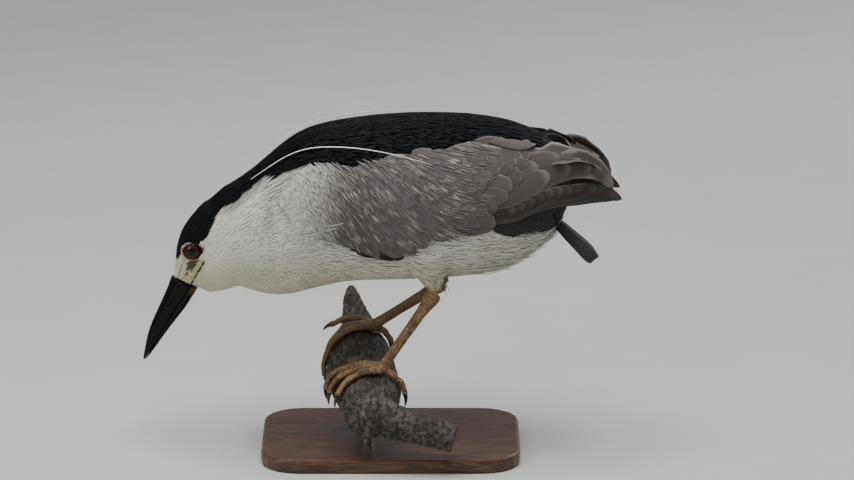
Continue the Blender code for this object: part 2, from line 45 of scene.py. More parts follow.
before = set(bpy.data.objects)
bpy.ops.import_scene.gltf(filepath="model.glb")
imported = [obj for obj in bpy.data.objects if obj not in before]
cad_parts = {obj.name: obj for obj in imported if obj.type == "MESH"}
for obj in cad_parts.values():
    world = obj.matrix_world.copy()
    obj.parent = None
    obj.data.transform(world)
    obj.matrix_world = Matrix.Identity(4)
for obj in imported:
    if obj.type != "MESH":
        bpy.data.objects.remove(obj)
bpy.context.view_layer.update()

MM = 0.001
SIDES = {"left": -1, "right": 1}


# ---------------------------------------------------------------- what a user would change

def linear(hex_text):
    """An sRGB hex colour as the linear one that shaders take."""
    values = [int(hex_text[i:i + 2], 16) / 255 for i in (1, 3, 5)]
    return [v / 12.92 if v <= 0.04045 else ((v + 0.055) / 1.055) ** 2.4 for v in values] + [1.0]


def colour_setting(name, text, hex_text):
    """A colour that a user may change."""
    return bpy.props.FloatVectorProperty(
        name=name, description=text, subtype="COLOR", size=4, min=0, max=1, default=linear(hex_text)
    )


def length_setting(name, text, millimetres):
    """A length that a user may change."""
    return bpy.props.FloatProperty(
        name=name, description=text, unit="LENGTH", precision=5, min=0, default=millimetres * MM
    )


def count_setting(name, text, count):
    """A number of things that a user may change."""
    return bpy.props.IntProperty(name=name, description=text, min=1, default=count)


def power_setting(name, text, watts):
    """A lamp's power, which a user may change."""
    return bpy.props.FloatProperty(name=name, description=text, unit="POWER", min=0, default=watts)


def group_setting(name, text, kind):
    """One group of settings within another."""
    return bpy.props.PointerProperty(name=name, description=text, type=kind)


class PlumageSettings(bpy.types.PropertyGroup):
    """The feathers' colours and sizes."""

    white: colour_setting("White", "Feathers of the neck, breast and belly", "#e9e5db")
    # More cream low on the body is partly painted shade.
    cream: colour_setting("Cream", "Warm tint of the white feathers of throat and belly", "#d8d1ae")
    grey: colour_setting("Grey", "Wing feathers over the shoulder", "#676060")
    brown: colour_setting("Brown", "Wing and tail feathers behind", "#433a33")
    black: colour_setting("Black", "Cap, nape and back", "#020409")
    worn: colour_setting("Worn edge", "Bleached edges of the broad feathers", "#9c9490")
    plume: colour_setting("Plume", "The three long nape feathers", "#fbfaf4")
    overlap: bpy.props.FloatProperty(
        name="Overlap", description="How many tufts lie over any place of the body", min=1, max=10, default=8
    )
    barb_spacing: length_setting("Barb spacing", "From barb to barb in the broad feathers", 0.95)
    plume_width: length_setting("Plume width", "Width of a nape plume at its middle", 1.15)
    loose_barbs: count_setting("Loose barbs", "Grey barbs that lie loose on each wing", 900)
    # Pale clumps: partly bleached barbs, partly painted highlights along the quills.
    pale_highlight_clumps: count_setting("Pale clumps", "Clumps of bleached barbs on each wing", 90)


class BarePartSettings(bpy.types.PropertyGroup):
    """Colours and sizes of eyes, bare skin and horn."""

    iris: colour_setting("Iris", "Bright fibres of the iris", "#4f0906")
    iris_dark: colour_setting("Dark iris", "Dark fibres of the iris", "#1a0201")
    pupil_radius: length_setting("Pupil radius", "From the eye's axis to the pupil's edge", 3.3)
    iris_radius: length_setting("Iris radius", "From the eye's axis to the iris's edge", 7.9)
    lores: colour_setting("Lores", "Bare skin before the eye", "#b0aa78")
    # Painted shade under the eyeball, in dark olive.
    under_eye_shade: colour_setting("Lore stain", "Olive smudge under the eye", "#1f1f08")
    leg: colour_setting("Leg", "Scaled skin of legs and toes", "#9a7848")
    leg_dark: colour_setting("Dark leg", "Darker patches of legs and toes", "#64492a")
    scale_size: length_setting("Scale size", "Across the small many-sided scales of the legs", 2.3)
    bill: colour_setting("Bill", "Horn of the bill", "#040505")
    bill_root: colour_setting("Bill root", "Flesh-coloured root of the lower bill", "#6b4a30")
    claw: colour_setting("Claw", "Horn of the claws", "#1a1613")


class StandSettings(bpy.types.PropertyGroup):
    """Colours of the branch and the display stand."""

    bark: colour_setting("Bark", "Weathered grey-brown bark", "#57504a")
    bark_dark: colour_setting("Dark bark", "Damp patches of the bark", "#3f3933")
    bark_ridge: colour_setting("Bark ridge", "Pale worn ridges of the bark", "#7c756c")
    walnut: colour_setting("Walnut", "Light bands of the base's wood", "#5b3a25")
    walnut_dark: colour_setting("Dark walnut", "Dark bands of the base's wood", "#3a2417")
    steel: colour_setting("Steel", "Brushed steel of the rods", "#c9c8c5")


class StudioSettings(bpy.types.PropertyGroup):
    """Floor, lamps and camera."""

    floor: colour_setting("Floor", "The plain pale floor", "#c1c2be")
    sky: colour_setting("Sky", "Soft light from all round", "#c6ccd2")
    sky_strength: bpy.props.FloatProperty(
        name="Sky strength", description="How strong the light from all round is", min=0, default=0.5
    )
    key_power: power_setting("Overhead lamp", "Power of the lamp above", 58)
    fill_power: power_setting("Side lamps", "Power of each of the two side lamps", 18)
    elevation: bpy.props.FloatProperty(
        name="Camera height", description="Angle of the view above level", subtype="ANGLE",
        default=math.radians(15),
    )
    distance: length_setting("Camera distance", "From the camera to the bird", 4100)


class HeronSettings(bpy.types.PropertyGroup):
    """All settings of the model."""

    plumage: group_setting("Plumage", "The feathers' colours and sizes", PlumageSettings)
    bare_parts: group_setting("Bare parts", "Colours and sizes of eyes, skin and horn", BarePartSettings)
    stand: group_setting("Stand", "Colours of branch, wood and steel", StandSettings)
    studio: group_setting("Studio", "Floor, lamps and camera", StudioSettings)


# ---------------------------------------------------------------- places worked out from the frame

def node_points(*nodes):
    """The corners of these solids, in millimetres."""
    return np.array([v.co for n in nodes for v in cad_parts[n].data.vertices]) / MM


HEAD_PITCH = math.radians(62.5)  # the bill points this far below level
AHEAD = np.array((-math.cos(HEAD_PITCH), 0, -math.sin(HEAD_PITCH)))
CROWN = np.array((-math.sin(HEAD_PITCH), 0, math.cos(HEAD_PITCH)))
BILL_POINTS = node_points("bill_upper", "bill_lower")
BILL_BACK = (BILL_POINTS @ AHEAD).min() + 6  # the bill's root is set this far into the head
EYE_CENTRE = {
    side: (node_points(f"eye_{side}").min(0) + node_points(f"eye_{side}").max(0)) / 2 for side in SIDES
}
EYE_HALF = np.ptp(node_points("eye_left"), axis=0) / 2
BILL_RISE = (EYE_CENTRE["left"] @ CROWN) - 7.4  # the bill's axis lies this far below the eye

HEAD_END = -150  # the head's feathers lie ahead of this X
BODY_POINTS = node_points("trunk", "neck", "head")
STATIONS = np.arange(-180, 155, 5.0)
STATION_REACH = 9  # corners this near a station count towards its outline


def station_rows():
    """Top, bottom and half width of the body at each station along X."""
    rows = []
    for x in STATIONS:
        near = BODY_POINTS[abs(BODY_POINTS[:, 0] - x) < STATION_REACH]
        rows.append((near[:, 2].max(), near[:, 2].min(), abs(near[:, 1]).max()))
    return np.array(rows)


STATION_ROWS = station_rows()


def smooth_step(value, low, high):
    """0 below low, 1 above high, and an even S between."""
    share = np.clip((value - low) / (high - low), 0, 1)
    return share * share * (3 - 2 * share)


def read_line(rows, position):
    """A value read from a few (position, value) rows."""
    places, values = np.array(rows, float).T
    return np.interp(position, places, values)


def head_place(points):
    """How far back from the bill's root points lie along the head, and how far above the bill's axis."""
    return BILL_BACK - points @ AHEAD, points @ CROWN - BILL_RISE


def body_angle(points):
    """Degrees round the body from the top of the back."""
    x = points[:, 0]
    top = np.interp(x, STATIONS, STATION_ROWS[:, 0])
    bottom = np.interp(x, STATIONS, STATION_ROWS[:, 1])
    half_width = np.interp(x, STATIONS, STATION_ROWS[:, 2])
    height = (points[:, 2] - (top + bottom) / 2) / ((top - bottom) / 2)
    return np.degrees(np.arctan2(abs(points[:, 1]) / half_width, height))


# ---------------------------------------------------------------- what the plumage is like, place by place

EYE_OPENING = (8.2, 6.9)  # half width and half height between the lids
CAP_EDGE = ((20, 15), (30, 15), (36, 15.5), (42, 13), (46, 8), (51, 3.4), (59, 2), (75, 2.4), (90, 0))
BLACK_EDGE = (
    (-160, 70), (-154, 62), (-149, 53), (-142, 47), (-133, 48), (-123, 42), (-115, 39), (-106, 38), (-99, 46),
    (-88, 49), (-73, 51), (-55, 55), (-31, 58), (-8, 54), (22, 50), (60, 46), (107, 46), (128, 47), (137, 16),
)
NOSTRIL = (15.5, 2.2)  # back from the bill's root and above its axis
GAPE_HEIGHT = -6.2  # the line of the mouth, below the bill's axis
LORE_TOP = ((6, 7.5), (14, 9), (24, 9.5), (31, 6))


def uneven(points, size, seed=0.0):
    """Smooth noise from -1 to 1 at these places, with blotches about this many millimetres across."""
    shift = Vector((seed, 2 * seed, -seed))
    return np.array([noise.noise(Vector(p) / size + shift) for p in points.tolist()])


def eye_distance(points):
    """1 at the lids' edge, more outside it."""
    x, z = points[:, 0] - EYE_CENTRE["left"][0], points[:, 2] - EYE_CENTRE["left"][2]
    return np.hypot(x / EYE_OPENING[0], z / EYE_OPENING[1])


def bare_face(points):
    """1 on the bare skin between the eye, the bill and the line of the mouth."""
    back, rise = head_place(points)
    top = read_line(LORE_TOP, back) + 1.3 * uneven(points, 3.0, 2)
    back = back + 1.2 * uneven(points, 3.5, 6)
    return (
        smooth_step(-back, -36, -31)
        * smooth_step(top - rise, -0.6, 0.6)
        * smooth_step(rise, GAPE_HEIGHT - 1, GAPE_HEIGHT + 0.4)
    )


def face_tone(points):
    """Shares of dark stain, of pale pebbled skin and of pink on the bare face, and of painted shade under the
    eye in olive.
    """
    back, rise = head_place(points)
    wander = uneven(points, 3.2, 2)
    near, high = back + 1.5 * wander, rise + 0.9 * uneven(points, 2.6, 7)
    # Painted shade: a dark olive patch under the eyeball, where shade falls.
    smudge = np.exp(-(((near - 27) / 8) ** 2) - ((high - 2.6) / 4.2) ** 2) + 0.35 * uneven(points, 2.0, 12)
    smudge = smudge * smooth_step(high, GAPE_HEIGHT + 1.0, GAPE_HEIGHT + 3.0)
    root = smooth_step(-near, -8.5, -5) * smooth_step(-high, -8, -5)
    mouth = np.exp(-(((high - GAPE_HEIGHT) / 1.6) ** 2)) * smooth_step(-near, -42, -38)
    nostril = np.exp(-(((back - NOSTRIL[0]) / 2.1) ** 2) - ((rise - NOSTRIL[1]) / 1.1) ** 2)
    speckle = smooth_step(uneven(points, 1.5, 9), 0.18, 0.5) * 0.45
    dark = np.maximum.reduce((root, smooth_step(mouth, 0.2, 0.8), nostril, speckle))
    pale = smooth_step(-eye_distance(points), -1.55, -1.15) * smooth_step(high, -2, 4)
    pale = np.maximum(pale, smooth_step(high, 3, 8))
    pink = np.exp(-(((near - 7) / 5) ** 2) - ((high + 9) / 2.6) ** 2)
    return np.column_stack((dark, pale, smooth_step(pink, 0.05, 0.4), smooth_step(smudge, 0.25, 0.6)))


def black_share(points):
    """1 on the black cap, nape and back."""
    back, rise = head_place(points)
    rise = rise + 0.8 * uneven(points, 2.4, 4)
    on_head = smooth_step(-points[:, 0], 149, 153)
    cap = smooth_step(rise - read_line(CAP_EDGE, back), -0.5, 0.5)
    near_eye = eye_distance(points) + 0.09 * uneven(points, 1.7, 3)
    cap = cap * smooth_step(back, 21, 24) * smooth_step(near_eye, 1.2, 1.28)
    behind = smooth_step(read_line(BLACK_EDGE, points[:, 0]) - body_angle(points), -1.5, 1.5)
    behind = behind * smooth_step(-points[:, 0], -137, -131)
    return cap * on_head + behind * (1 - on_head)


def as_marking(black, grey, warm):
    """Shares of black, of grey and of a warm tone, as one colour attribute holds them."""
    return np.column_stack((black, np.clip(grey, 0, 1), np.clip(warm, 0, 1), np.ones(len(grey))))


def body_marking(points):
    """How the coat and the skin under it are marked at these places, with painted shade in a fold of the neck
    and low on the body.
    """
    x, _, z = points.T
    black = black_share(points)
    below_black = body_angle(points) - read_line(BLACK_EDGE, x)
    rear_grey = smooth_step(x, 112, 126) * smooth_step(z, 222, 238)
    tail_root = smooth_step(x + 3 * uneven(points, 5, 2), 94, 104)
    tail_root = tail_root * smooth_step(z + 2 * uneven(points, 4, 6), 198, 202)
    tail_root = tail_root * (1 - black) * (1 - smooth_step(z, 240, 248) * (1 - smooth_step(x, 128, 136)))
    shoulder = smooth_step(x, -112, -92) * smooth_step(z, 205, 245) * (1 - smooth_step(x, -84, -66))
    nape_side = smooth_step(x, -150, -136) * smooth_step(-x, 98, 112) * smooth_step(-below_black, -16, -3)
    # Painted shade: a grey band down the side of the neck, where a soft fold lies in shade.
    fold = np.exp(-(((x + 102) / 7) ** 2)) * smooth_step(z, 190, 215)
    grey = np.maximum.reduce((rear_grey, 0.35 * shoulder, 0.55 * nape_side, 0.3 * fold))
    grey = grey + 0.07 * (1 + uneven(points, 11)) * smooth_step(x, -150, -110)
    # Warmer and darker towards the bottom of the body: partly the feathers' cream tint, partly painted shade
    # below the body.
    warm = 0.15 + 0.55 * smooth_step(-z, -190, -150) + 0.45 * smooth_step(-x, 150, 172)
    warm = warm + 0.15 * uneven(points, 14, 5)
    warm = np.maximum(warm, 0.9 * np.maximum(rear_grey, tail_root))
    return as_marking(np.maximum(black, 0.5 * tail_root), np.maximum(grey, tail_root), warm)


def wing_marking(points):
    """How the folded wing's smaller feathers are marked: grey over the shoulder, browner behind."""
    x = points[:, 0]
    grey = 0.3 + 0.8 * smooth_step(x, -90, -30) + 0.09 * uneven(points, 17, 3)
    warm = 0.15 + 0.75 * smooth_step(x, 40, 150) + 0.2 * uneven(points, 21, 8)
    return as_marking(np.zeros(len(x)), grey, warm)


def flight_marking(dark):
    """Flight and tail feathers are a darker grey-brown than the coverts."""
    return dark, 1.0, 0.9, 1.0


def coat_depth(points):
    """How deep the feathers lie over the skin."""
    back, _ = head_place(points)
    return read_line(((0, 0.35), (20, 0.5), (45, 0.7), (75, 0.95), (115, 1.3), (170, 1.9)), back)


def vane_length(points):
    """How long the coat's feathers are: shortest at the bill, longest on the belly."""
    back, _ = head_place(points)
    low = smooth_step(-points[:, 2], -200, -160) * smooth_step(points[:, 0], -90, -20)
    return read_line(((0, 2.2), (20, 3), (40, 4.5), (60, 8), (85, 13), (120, 17), (180, 20)), back) + 5 * low


def vane_width(points):
    """How wide the coat's feathers are."""
    back, _ = head_place(points)
    return read_line(((0, 0.55), (20, 0.75), (40, 0.95), (70, 1.15), (110, 1.4), (180, 2.0)), back)


def lie_of_coat(points):
    """Which way feathers point: back from the bill, up the neck, then along the body and down the thighs."""
    x, _, z = points.T
    low = smooth_step(-z, -215, -165)
    climb = read_line(((-150, 0.75), (-120, 0.62), (-90, 0.3), (-50, 0.02), (60, -0.1), (130, -0.55)), x)
    climb = climb * (1 - 0.55 * low) + 0.1 * low * smooth_step(-x, 20, 90)
    along_body = np.column_stack((np.ones(len(x)), np.zeros(len(x)), climb))
    blend = smooth_step(x, -166, -138)[:, None]
    guide = -AHEAD * (1 - blend) + along_body * blend
    leg = thigh_share(points)[:, None]
    return guide * (1 - leg) + np.array((0.25, 0, -1.0)) * leg


THIGH_POINTS = {side: node_points(f"thigh_{side}") for side in SIDES}


def thigh_share(points):
    """1 on the feathered thighs, below the belly."""
    share = np.zeros(len(points))
    for side in SIDES:
        middle = THIGH_POINTS[side].mean(0)
        floor = THIGH_POINTS[side][:, 2].min()
        near = np.hypot(points[:, 0] - middle[0], points[:, 1] - middle[1])
        low = smooth_step(-points[:, 2], -floor - 15, -floor - 6)
        share = np.maximum(share, smooth_step(-near, -24, -14) * low)
    return share


# ---------------------------------------------------------------- meshes

def new_piece(name, mesh, *materials):
    """A new object with this mesh and these materials."""
    made = bpy.data.objects.new(name, mesh)
    bpy.context.scene.collection.objects.link(made)
    for material in materials:
        mesh.materials.append(material)
    return made


def finish_piece(thing, slot, *replaced):
    """Puts a piece on the only body, in place of these nodes."""
    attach(thing, "root")
    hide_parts(*replaced)


def finish_solid(thing, material, slot, node):
    """A piece made from one solid, finished and put in its place."""
    thing.data.shade_smooth()
    thing.data.materials.append(material)
    finish_piece(thing, slot, node)


def mesh_of(bm, name):
    """The mesh that a bmesh makes, shaded smooth."""
    made = bpy.data.meshes.new(name)
    bm.to_mesh(made)
    bm.free()
    made.shade_smooth()
    return made


def joined(name, meshes):
    """One new object that holds copies of these meshes."""
    bm = bmesh.new()
    for mesh in meshes:
        bm.from_mesh(mesh)
    made = mesh_of(bm, name)
    made.materials.clear()
    return new_piece(name, made)


def joined_copy(name, nodes):
    """One new object that holds copies of these solids."""
    return joined(name, [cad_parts[node].data for node in nodes])


def applied(thing):
    """The same object with its modifiers worked into its mesh."""
    bpy.context.view_layer.update()
    graph = bpy.context.evaluated_depsgraph_get()
    mesh = bpy.data.meshes.new_from_object(thing.evaluated_get(graph))
    old = thing.data
    thing.modifiers.clear()
    thing.data = mesh
    bpy.data.meshes.remove(old)
    return thing


def evened(thing, voxel, rounds):
    """Its surface made again in small even faces, then softened."""
    remesh = thing.modifiers.new("even_faces", "REMESH")
    remesh.mode = "VOXEL"
    remesh.voxel_size = voxel * MM
    soften = thing.modifiers.new("soften", "SMOOTH")
    soften.factor = 0.5
    soften.iterations = rounds
    return applied(thing)


def read_points(mesh):
    """The mesh's points, in millimetres."""
    flat = np.empty(len(mesh.vertices) * 3, np.float64)
    mesh.vertices.foreach_get("co", flat)
    return flat.reshape(-1, 3) / MM


def read_normals(mesh):
    """The way out at each of the mesh's points."""
    flat = np.empty(len(mesh.vertices) * 3, np.float32)
    mesh.vertices.foreach_get("normal", flat)
    return flat.reshape(-1, 3).astype(np.float64)


def write_points(mesh, points):
    """Moves the mesh's points to these places, in millimetres."""
    mesh.vertices.foreach_set("co", (points * MM).astype(np.float32).ravel())
    mesh.update()


FIELDS = {"FLOAT": "value", "FLOAT_VECTOR": "vector", "FLOAT_COLOR": "color"}


def store(mesh, name, kind, values):
    """Values at the mesh's points, for its material to read."""
    layer = mesh.attributes.new(name, kind, "POINT")
    layer.data.foreach_set(FIELDS[kind], np.ascontiguousarray(values, np.float32).ravel())


def unit(vectors):
    """These vectors with a length of 1."""
    return vectors / np.maximum(np.linalg.norm(vectors, axis=-1, keepdims=True), 1e-9)


SCATTER_TRIES = 3.0  # roots tried for each one that has room


class Form:
    """A smooth form that feathers are laid on."""

    def __init__(self, points, faces):
        self.points = points
        self.faces = faces
        corners = points[faces]
        flat = np.cross(corners[:, 2] - corners[:, 0], corners[:, 3] - corners[:, 1])
        at_points = np.zeros_like(points)
        for k in range(4):
            np.add.at(at_points, faces[:, k], flat)
        self.ways = unit(unit(at_points)[faces].mean(1))
        self.tree = BVHTree.FromPolygons(points.tolist(), faces.tolist())

    def nearest(self, wanted):
        """Where each wanted point falls on the form, and the way out there."""
        places, ways = np.empty_like(wanted), np.empty_like(wanted)
        for k, point in enumerate(wanted.tolist()):
            place, _, face, _ = self.tree.find_nearest(point)
            places[k] = place
            ways[k] = self.ways[face]
        return places, ways

    def land(self, wanted, out, limit):
        """The same, but a point further off the form than its limit stays where it is."""
        places, ways = self.nearest(wanted)
        lost = (np.linalg.norm(places - wanted, axis=1) > limit)[:, None]
        return np.where(lost, wanted, places), np.where(lost, out, ways)

    def scatter(self, rng, spacing, keep):
        """Roots spread evenly over the part of the form to cover, this far apart."""
        corners = self.points[self.faces]
        centres = corners.mean(1)
        across, along = corners[:, 2] - corners[:, 0], corners[:, 3] - corners[:, 1]
        area = np.linalg.norm(np.cross(across, along), axis=1) / 2
        wanted = np.where(keep(centres, self.ways), SCATTER_TRIES * area / spacing(centres) ** 2, 0)
        face = np.repeat(np.arange(len(wanted)), rng.poisson(wanted))
        a, b = rng.random((2, len(face), 1))
        quad = corners[face]
        near, far = quad[:, 0] * (1 - a) + quad[:, 1] * a, quad[:, 3] * (1 - a) + quad[:, 2] * a
        points = near * (1 - b) + far * b
        order = rng.permutation(len(points))
        return thinned(points[order], 0.8 * spacing(points[order]))


def form_of(thing):
    """The form of an evened object, which is then removed."""
    faces = np.array([list(p.vertices) for p in thing.data.polygons if len(p.vertices) == 4])
    form = Form(read_points(thing.data), faces)
    bpy.data.objects.remove(thing)
    return form


def sheet_form(grid, outward):
    """A form over a grid of places, with its faces turned to point outward."""
    rows, columns = grid.shape[:2]
    numbers = np.arange(rows * columns).reshape(rows, columns)
    faces = np.stack((numbers[:-1, :-1], numbers[1:, :-1], numbers[1:, 1:], numbers[:-1, 1:]), 2)
    faces = faces.reshape(-1, 4)
    form = Form(grid.reshape(-1, 3), faces)
    if (form.ways @ np.array(outward, float)).mean() < 0:
        form = Form(grid.reshape(-1, 3), faces[:, ::-1])
    return form


def resampled(line, count):
    """The same line as this many places, evenly apart."""
    reach = np.concatenate(((0,), np.cumsum(np.linalg.norm(np.diff(line, axis=0), axis=1))))
    even = np.linspace(0, reach[-1], count)
    return np.column_stack([np.interp(even, reach, line[:, c]) for c in range(3)])


EDGE_SPREAD = 5  # how many neighbours on either side are averaged along a grid's edge


def evened_ways(ways):
    """Directions along an edge, each averaged with those near it, so that short ends don't twist."""
    first, last = np.repeat(ways[:1], EDGE_SPREAD, 0), np.repeat(ways[-1:], EDGE_SPREAD, 0)
    padded = np.concatenate((first, ways, last))
    return unit(np.array([padded[k:k + 2 * EDGE_SPREAD + 1].sum(0) for k in range(len(ways))]))


def extended(grid, count, step):
    """The grid carried straight on past its first and last rows."""
    start = evened_ways(grid[0] - grid[2])
    end = evened_ways(grid[-1] - grid[-3])
    before = [grid[0] + start * step * k for k in range(count, 0, -1)]
    after = [grid[-1] + end * step * k for k in range(1, count + 1)]
    return np.concatenate((np.array(before), grid, np.array(after)))


def overhung(grid, across, along, outward):
    """A form over the grid, carried on past its edges by so many steps of a length, for vanes to overhang."""
    wide = extended(np.swapaxes(grid, 0, 1), *across)
    return sheet_form(extended(np.swapaxes(wide, 0, 1), *along), outward)


def calmed(grid, rounds):
    """The grid with its small unevenness smoothed out in both ways."""
    for _ in range(rounds):
        grid[1:-1] = (grid[:-2] + 2 * grid[1:-1] + grid[2:]) / 4
        grid[:, 1:-1] = (grid[:, :-2] + 2 * grid[:, 1:-1] + grid[:, 2:]) / 4
    return grid


def thinned(points, apart):
    """The points that are left when each keeps its distance from those before it."""
    cells, chosen = {}, []
    keys = np.floor(points / apart.max()).astype(int).tolist()
    for k, (key, point, reach) in enumerate(zip(keys, points.tolist(), apart.tolist())):
        around = itertools.product(*((n - 1, n, n + 1) for n in key))
        near = itertools.chain.from_iterable(cells.get(cell, ()) for cell in around)
        if all(math.dist(other, point) >= reach for other in near):
            cells.setdefault(tuple(key), []).append(point)
            chosen.append(k)
    return points[chosen]


FREE_STRIDE = 0.45  # a line leaves the form where it is further off than this share of a step


def lay_lines(form, roots, lie, lengths, turn, steps):
    """Lines that run from the roots over the form: places, ways out and headings, each (line, step, 3)."""
    place, out = form.nearest(roots)
    places, outs, heads = [], [], []
    stride = (lengths / (steps - 1))[:, None]
    for step in range(steps):
        head = lie(place)
        head = unit(head - out * (head * out).sum(1, keepdims=True))
        head = head * np.cos(turn)[:, None] + np.cross(out, head) * np.sin(turn)[:, None]
        places.append(place)
        outs.append(out)
        heads.append(head)
        if step < steps - 1:
            ahead = place + head * stride
            place, out = form.land(ahead, out, FREE_STRIDE * stride[:, 0])
    return np.stack(places, 1), np.stack(outs, 1), np.stack(heads, 1)


def path_lines(form, paths):
    """What lay_lines gives, for lines that are already drawn."""
    outs = np.stack([form.nearest(paths[:, k])[1] for k in range(paths.shape[1])], 1)
    heads = np.gradient(paths, axis=1)
    return paths, outs, unit(heads - outs * (heads * outs).sum(2, keepdims=True))


UNWRAP_RADIUS = 40  # how far round the body one radian is, laid flat


def unwrap(points):
    """Places on the body's own shape laid flat: along the body, and round it."""
    x, y, z = points.T
    middle = np.interp(x, STATIONS, STATION_ROWS[:, :2].mean(1))
    round_body = np.arctan2(y, z - middle)
    flat = np.column_stack((x, round_body * UNWRAP_RADIUS))
    flat = flat - flat.min(0)
    return 0.004 + 0.992 * flat / np.maximum(flat.max(0), 1)


BAKE_PATCH = 0.003  # each vane's patch on the flat map


def many_vanes(name, corners, quads, tris, spots, width, length, roots, marking, shade, rim):
    """One joined mesh of like vanes: corners (vane, corner, 3); quads and tris index one vane's corners.

    spots are each corner's place on its vane: -1 to 1 across and 0 to 1 along."""
    count, per_vane = corners.shape[:2]
    first = corners[0]
    halves = [*tris, *((a, b, c) for a, b, c, _ in quads), *((a, c, d) for a, _, c, d in quads)]
    if sum(np.dot(first[a], np.cross(first[b], first[c])) for a, b, c in halves) < 0:  # inside out
        quads, tris = [q[::-1] for q in quads], [t[::-1] for t in tris]
    offset = (np.arange(count) * per_vane)[:, None]
    quad_loops = (np.array(quads).reshape(1, -1) + offset).reshape(-1)
    tri_loops = (np.array(tris).reshape(1, -1) + offset).reshape(-1)
    loops = np.concatenate((quad_loops, tri_loops)).astype(np.int32)
    sizes = np.concatenate((np.full(len(quad_loops) // 4, 4), np.full(len(tri_loops) // 3, 3)))
    mesh = bpy.data.meshes.new(name)
    mesh.vertices.add(count * per_vane)
    mesh.vertices.foreach_set("co", (corners * MM).astype(np.float32).ravel())
    mesh.loops.add(len(loops))
    mesh.loops.foreach_set("vertex_index", loops)
    mesh.polygons.add(len(sizes))
    mesh.polygons.foreach_set("loop_start", (np.cumsum(sizes) - sizes).astype(np.int32))
    mesh.update(calc_edges=True)
    mesh.shade_smooth()

    place = np.tile(np.array(spots, float), (count, 1, 1))
    flat = unwrap(roots)[:, None, :] + (place * (0.5, 1) - (0, 0.5)) * BAKE_PATCH
    bake_map = mesh.uv_layers.new(name="OFBake")
    bake_map.data.foreach_set("uv", flat.reshape(-1, 2)[loops].astype(np.float32).ravel())

    spot = np.concatenate((place, np.zeros((count, per_vane, 1))), 2)
    true = spot * np.column_stack((width / 2, length, np.zeros(count)))[:, None, :]
    store(mesh, "vane_share", "FLOAT_VECTOR", spot)
    store(mesh, "vane_mm", "FLOAT_VECTOR", true)
    store(mesh, "marking", "FLOAT_COLOR", np.repeat(marking, per_vane, 0))
    store(mesh, "shade", "FLOAT", np.repeat(shade, per_vane))
    store(mesh, "rim", "FLOAT", np.repeat(rim, per_vane))
    return mesh


TUFT_PROFILE = ((0, 0.5), (0.28, 0.95), (0.6, 1), (0.86, 0.62), (1, 0))  # share along, share of the width
TUFT_RIDGE = 0.12  # height of the ridge along a tuft, as a share of its width


def tufts(name, form, rng, roots, lie, length, width, depth, jitter, marking=None, lift=0.0, over=0.0):
    """Short narrow vanes, each a closed blade of three-sided section that lies back over the next. depth is
    how far the quill is sunk, and over and lift are how far the whole vane and its tip stand off."""
    count, steps = len(roots), len(TUFT_PROFILE)
    turn = rng.normal(0, jitter, count)
    places, outs, heads = lay_lines(form, roots, lie, length, turn, steps)
    stand = lift * rng.random(count) ** 3
    for k, (share, _) in enumerate(TUFT_PROFILE):
        rise = -1.1 + 1.08 * (1 - (1 - share) ** 2.2)
        places[:, k] += outs[:, k] * (depth * rise + stand * share ** 2 + over)[:, None]
    sides = np.cross(outs, heads)
    corners, spots = [], []
    for k, (share, wide) in enumerate(TUFT_PROFILE[:-1]):
        half = sides[:, k] * (width * wide / 2)[:, None]
        ridge = outs[:, k] * (width * TUFT_RIDGE * wide)[:, None]
        corners += [places[:, k] - half, places[:, k] + ridge, places[:, k] + half]
        spots += [(-wide, share), (0, share), (wide, share)]
    corners.append(places[:, -1])
    spots.append((0, 1))
    quads = [
        (3 * k + a, 3 * k + 3 + a, 3 * k + 3 + (a + 1) % 3, 3 * k + (a + 1) % 3)
        for k in range(steps - 2) for a in range(3)
    ]
    last = 3 * (steps - 2)
    tris = [(0, 1, 2)] + [(last + a, last + 3, last + (a + 1) % 3) for a in range(3)]
    if marking is None:
        marking = body_marking(places[:, -2])
    corners, shade, rim = np.stack(corners, 1), rng.random(count), np.zeros(count)
    return many_vanes(name, corners, quads, tris, spots, width, length, roots, marking, shade, rim)


def blade_width(share, tip, root, broad):
    """The outline of a broad feather: it opens from the quill, runs wide and closes round."""
    opening = root + (1 - root) * np.sin(np.clip(share / broad, 0, 1) * math.pi / 2)
    closing = np.sqrt(np.clip(1 - np.clip((share - (1 - tip)) / tip, 0, 1) ** 2.2, 0, 1))
    return opening * closing


def blade_faces(steps, across):
    """The faces of one thin closed sheet: its upper and lower side, then its edges and ends."""
    upper, lower = np.arange(2 * steps * across).reshape(2, steps, across).tolist()
    quads = []
    for k in range(steps - 1):
        for j in range(across - 1):
            quads.append((upper[k][j], upper[k + 1][j], upper[k + 1][j + 1], upper[k][j + 1]))
            quads.append((lower[k][j], lower[k][j + 1], lower[k + 1][j + 1], lower[k + 1][j]))
        quads.append((upper[k][0], lower[k][0], lower[k + 1][0], upper[k + 1][0]))
        quads.append((upper[k][-1], upper[k + 1][-1], lower[k + 1][-1], lower[k][-1]))
    for j in range(across - 1):
        quads.append((upper[0][j], upper[0][j + 1], lower[0][j + 1], lower[0][j]))
        quads.append((upper[-1][j], lower[-1][j], lower[-1][j + 1], upper[-1][j + 1]))
    return quads


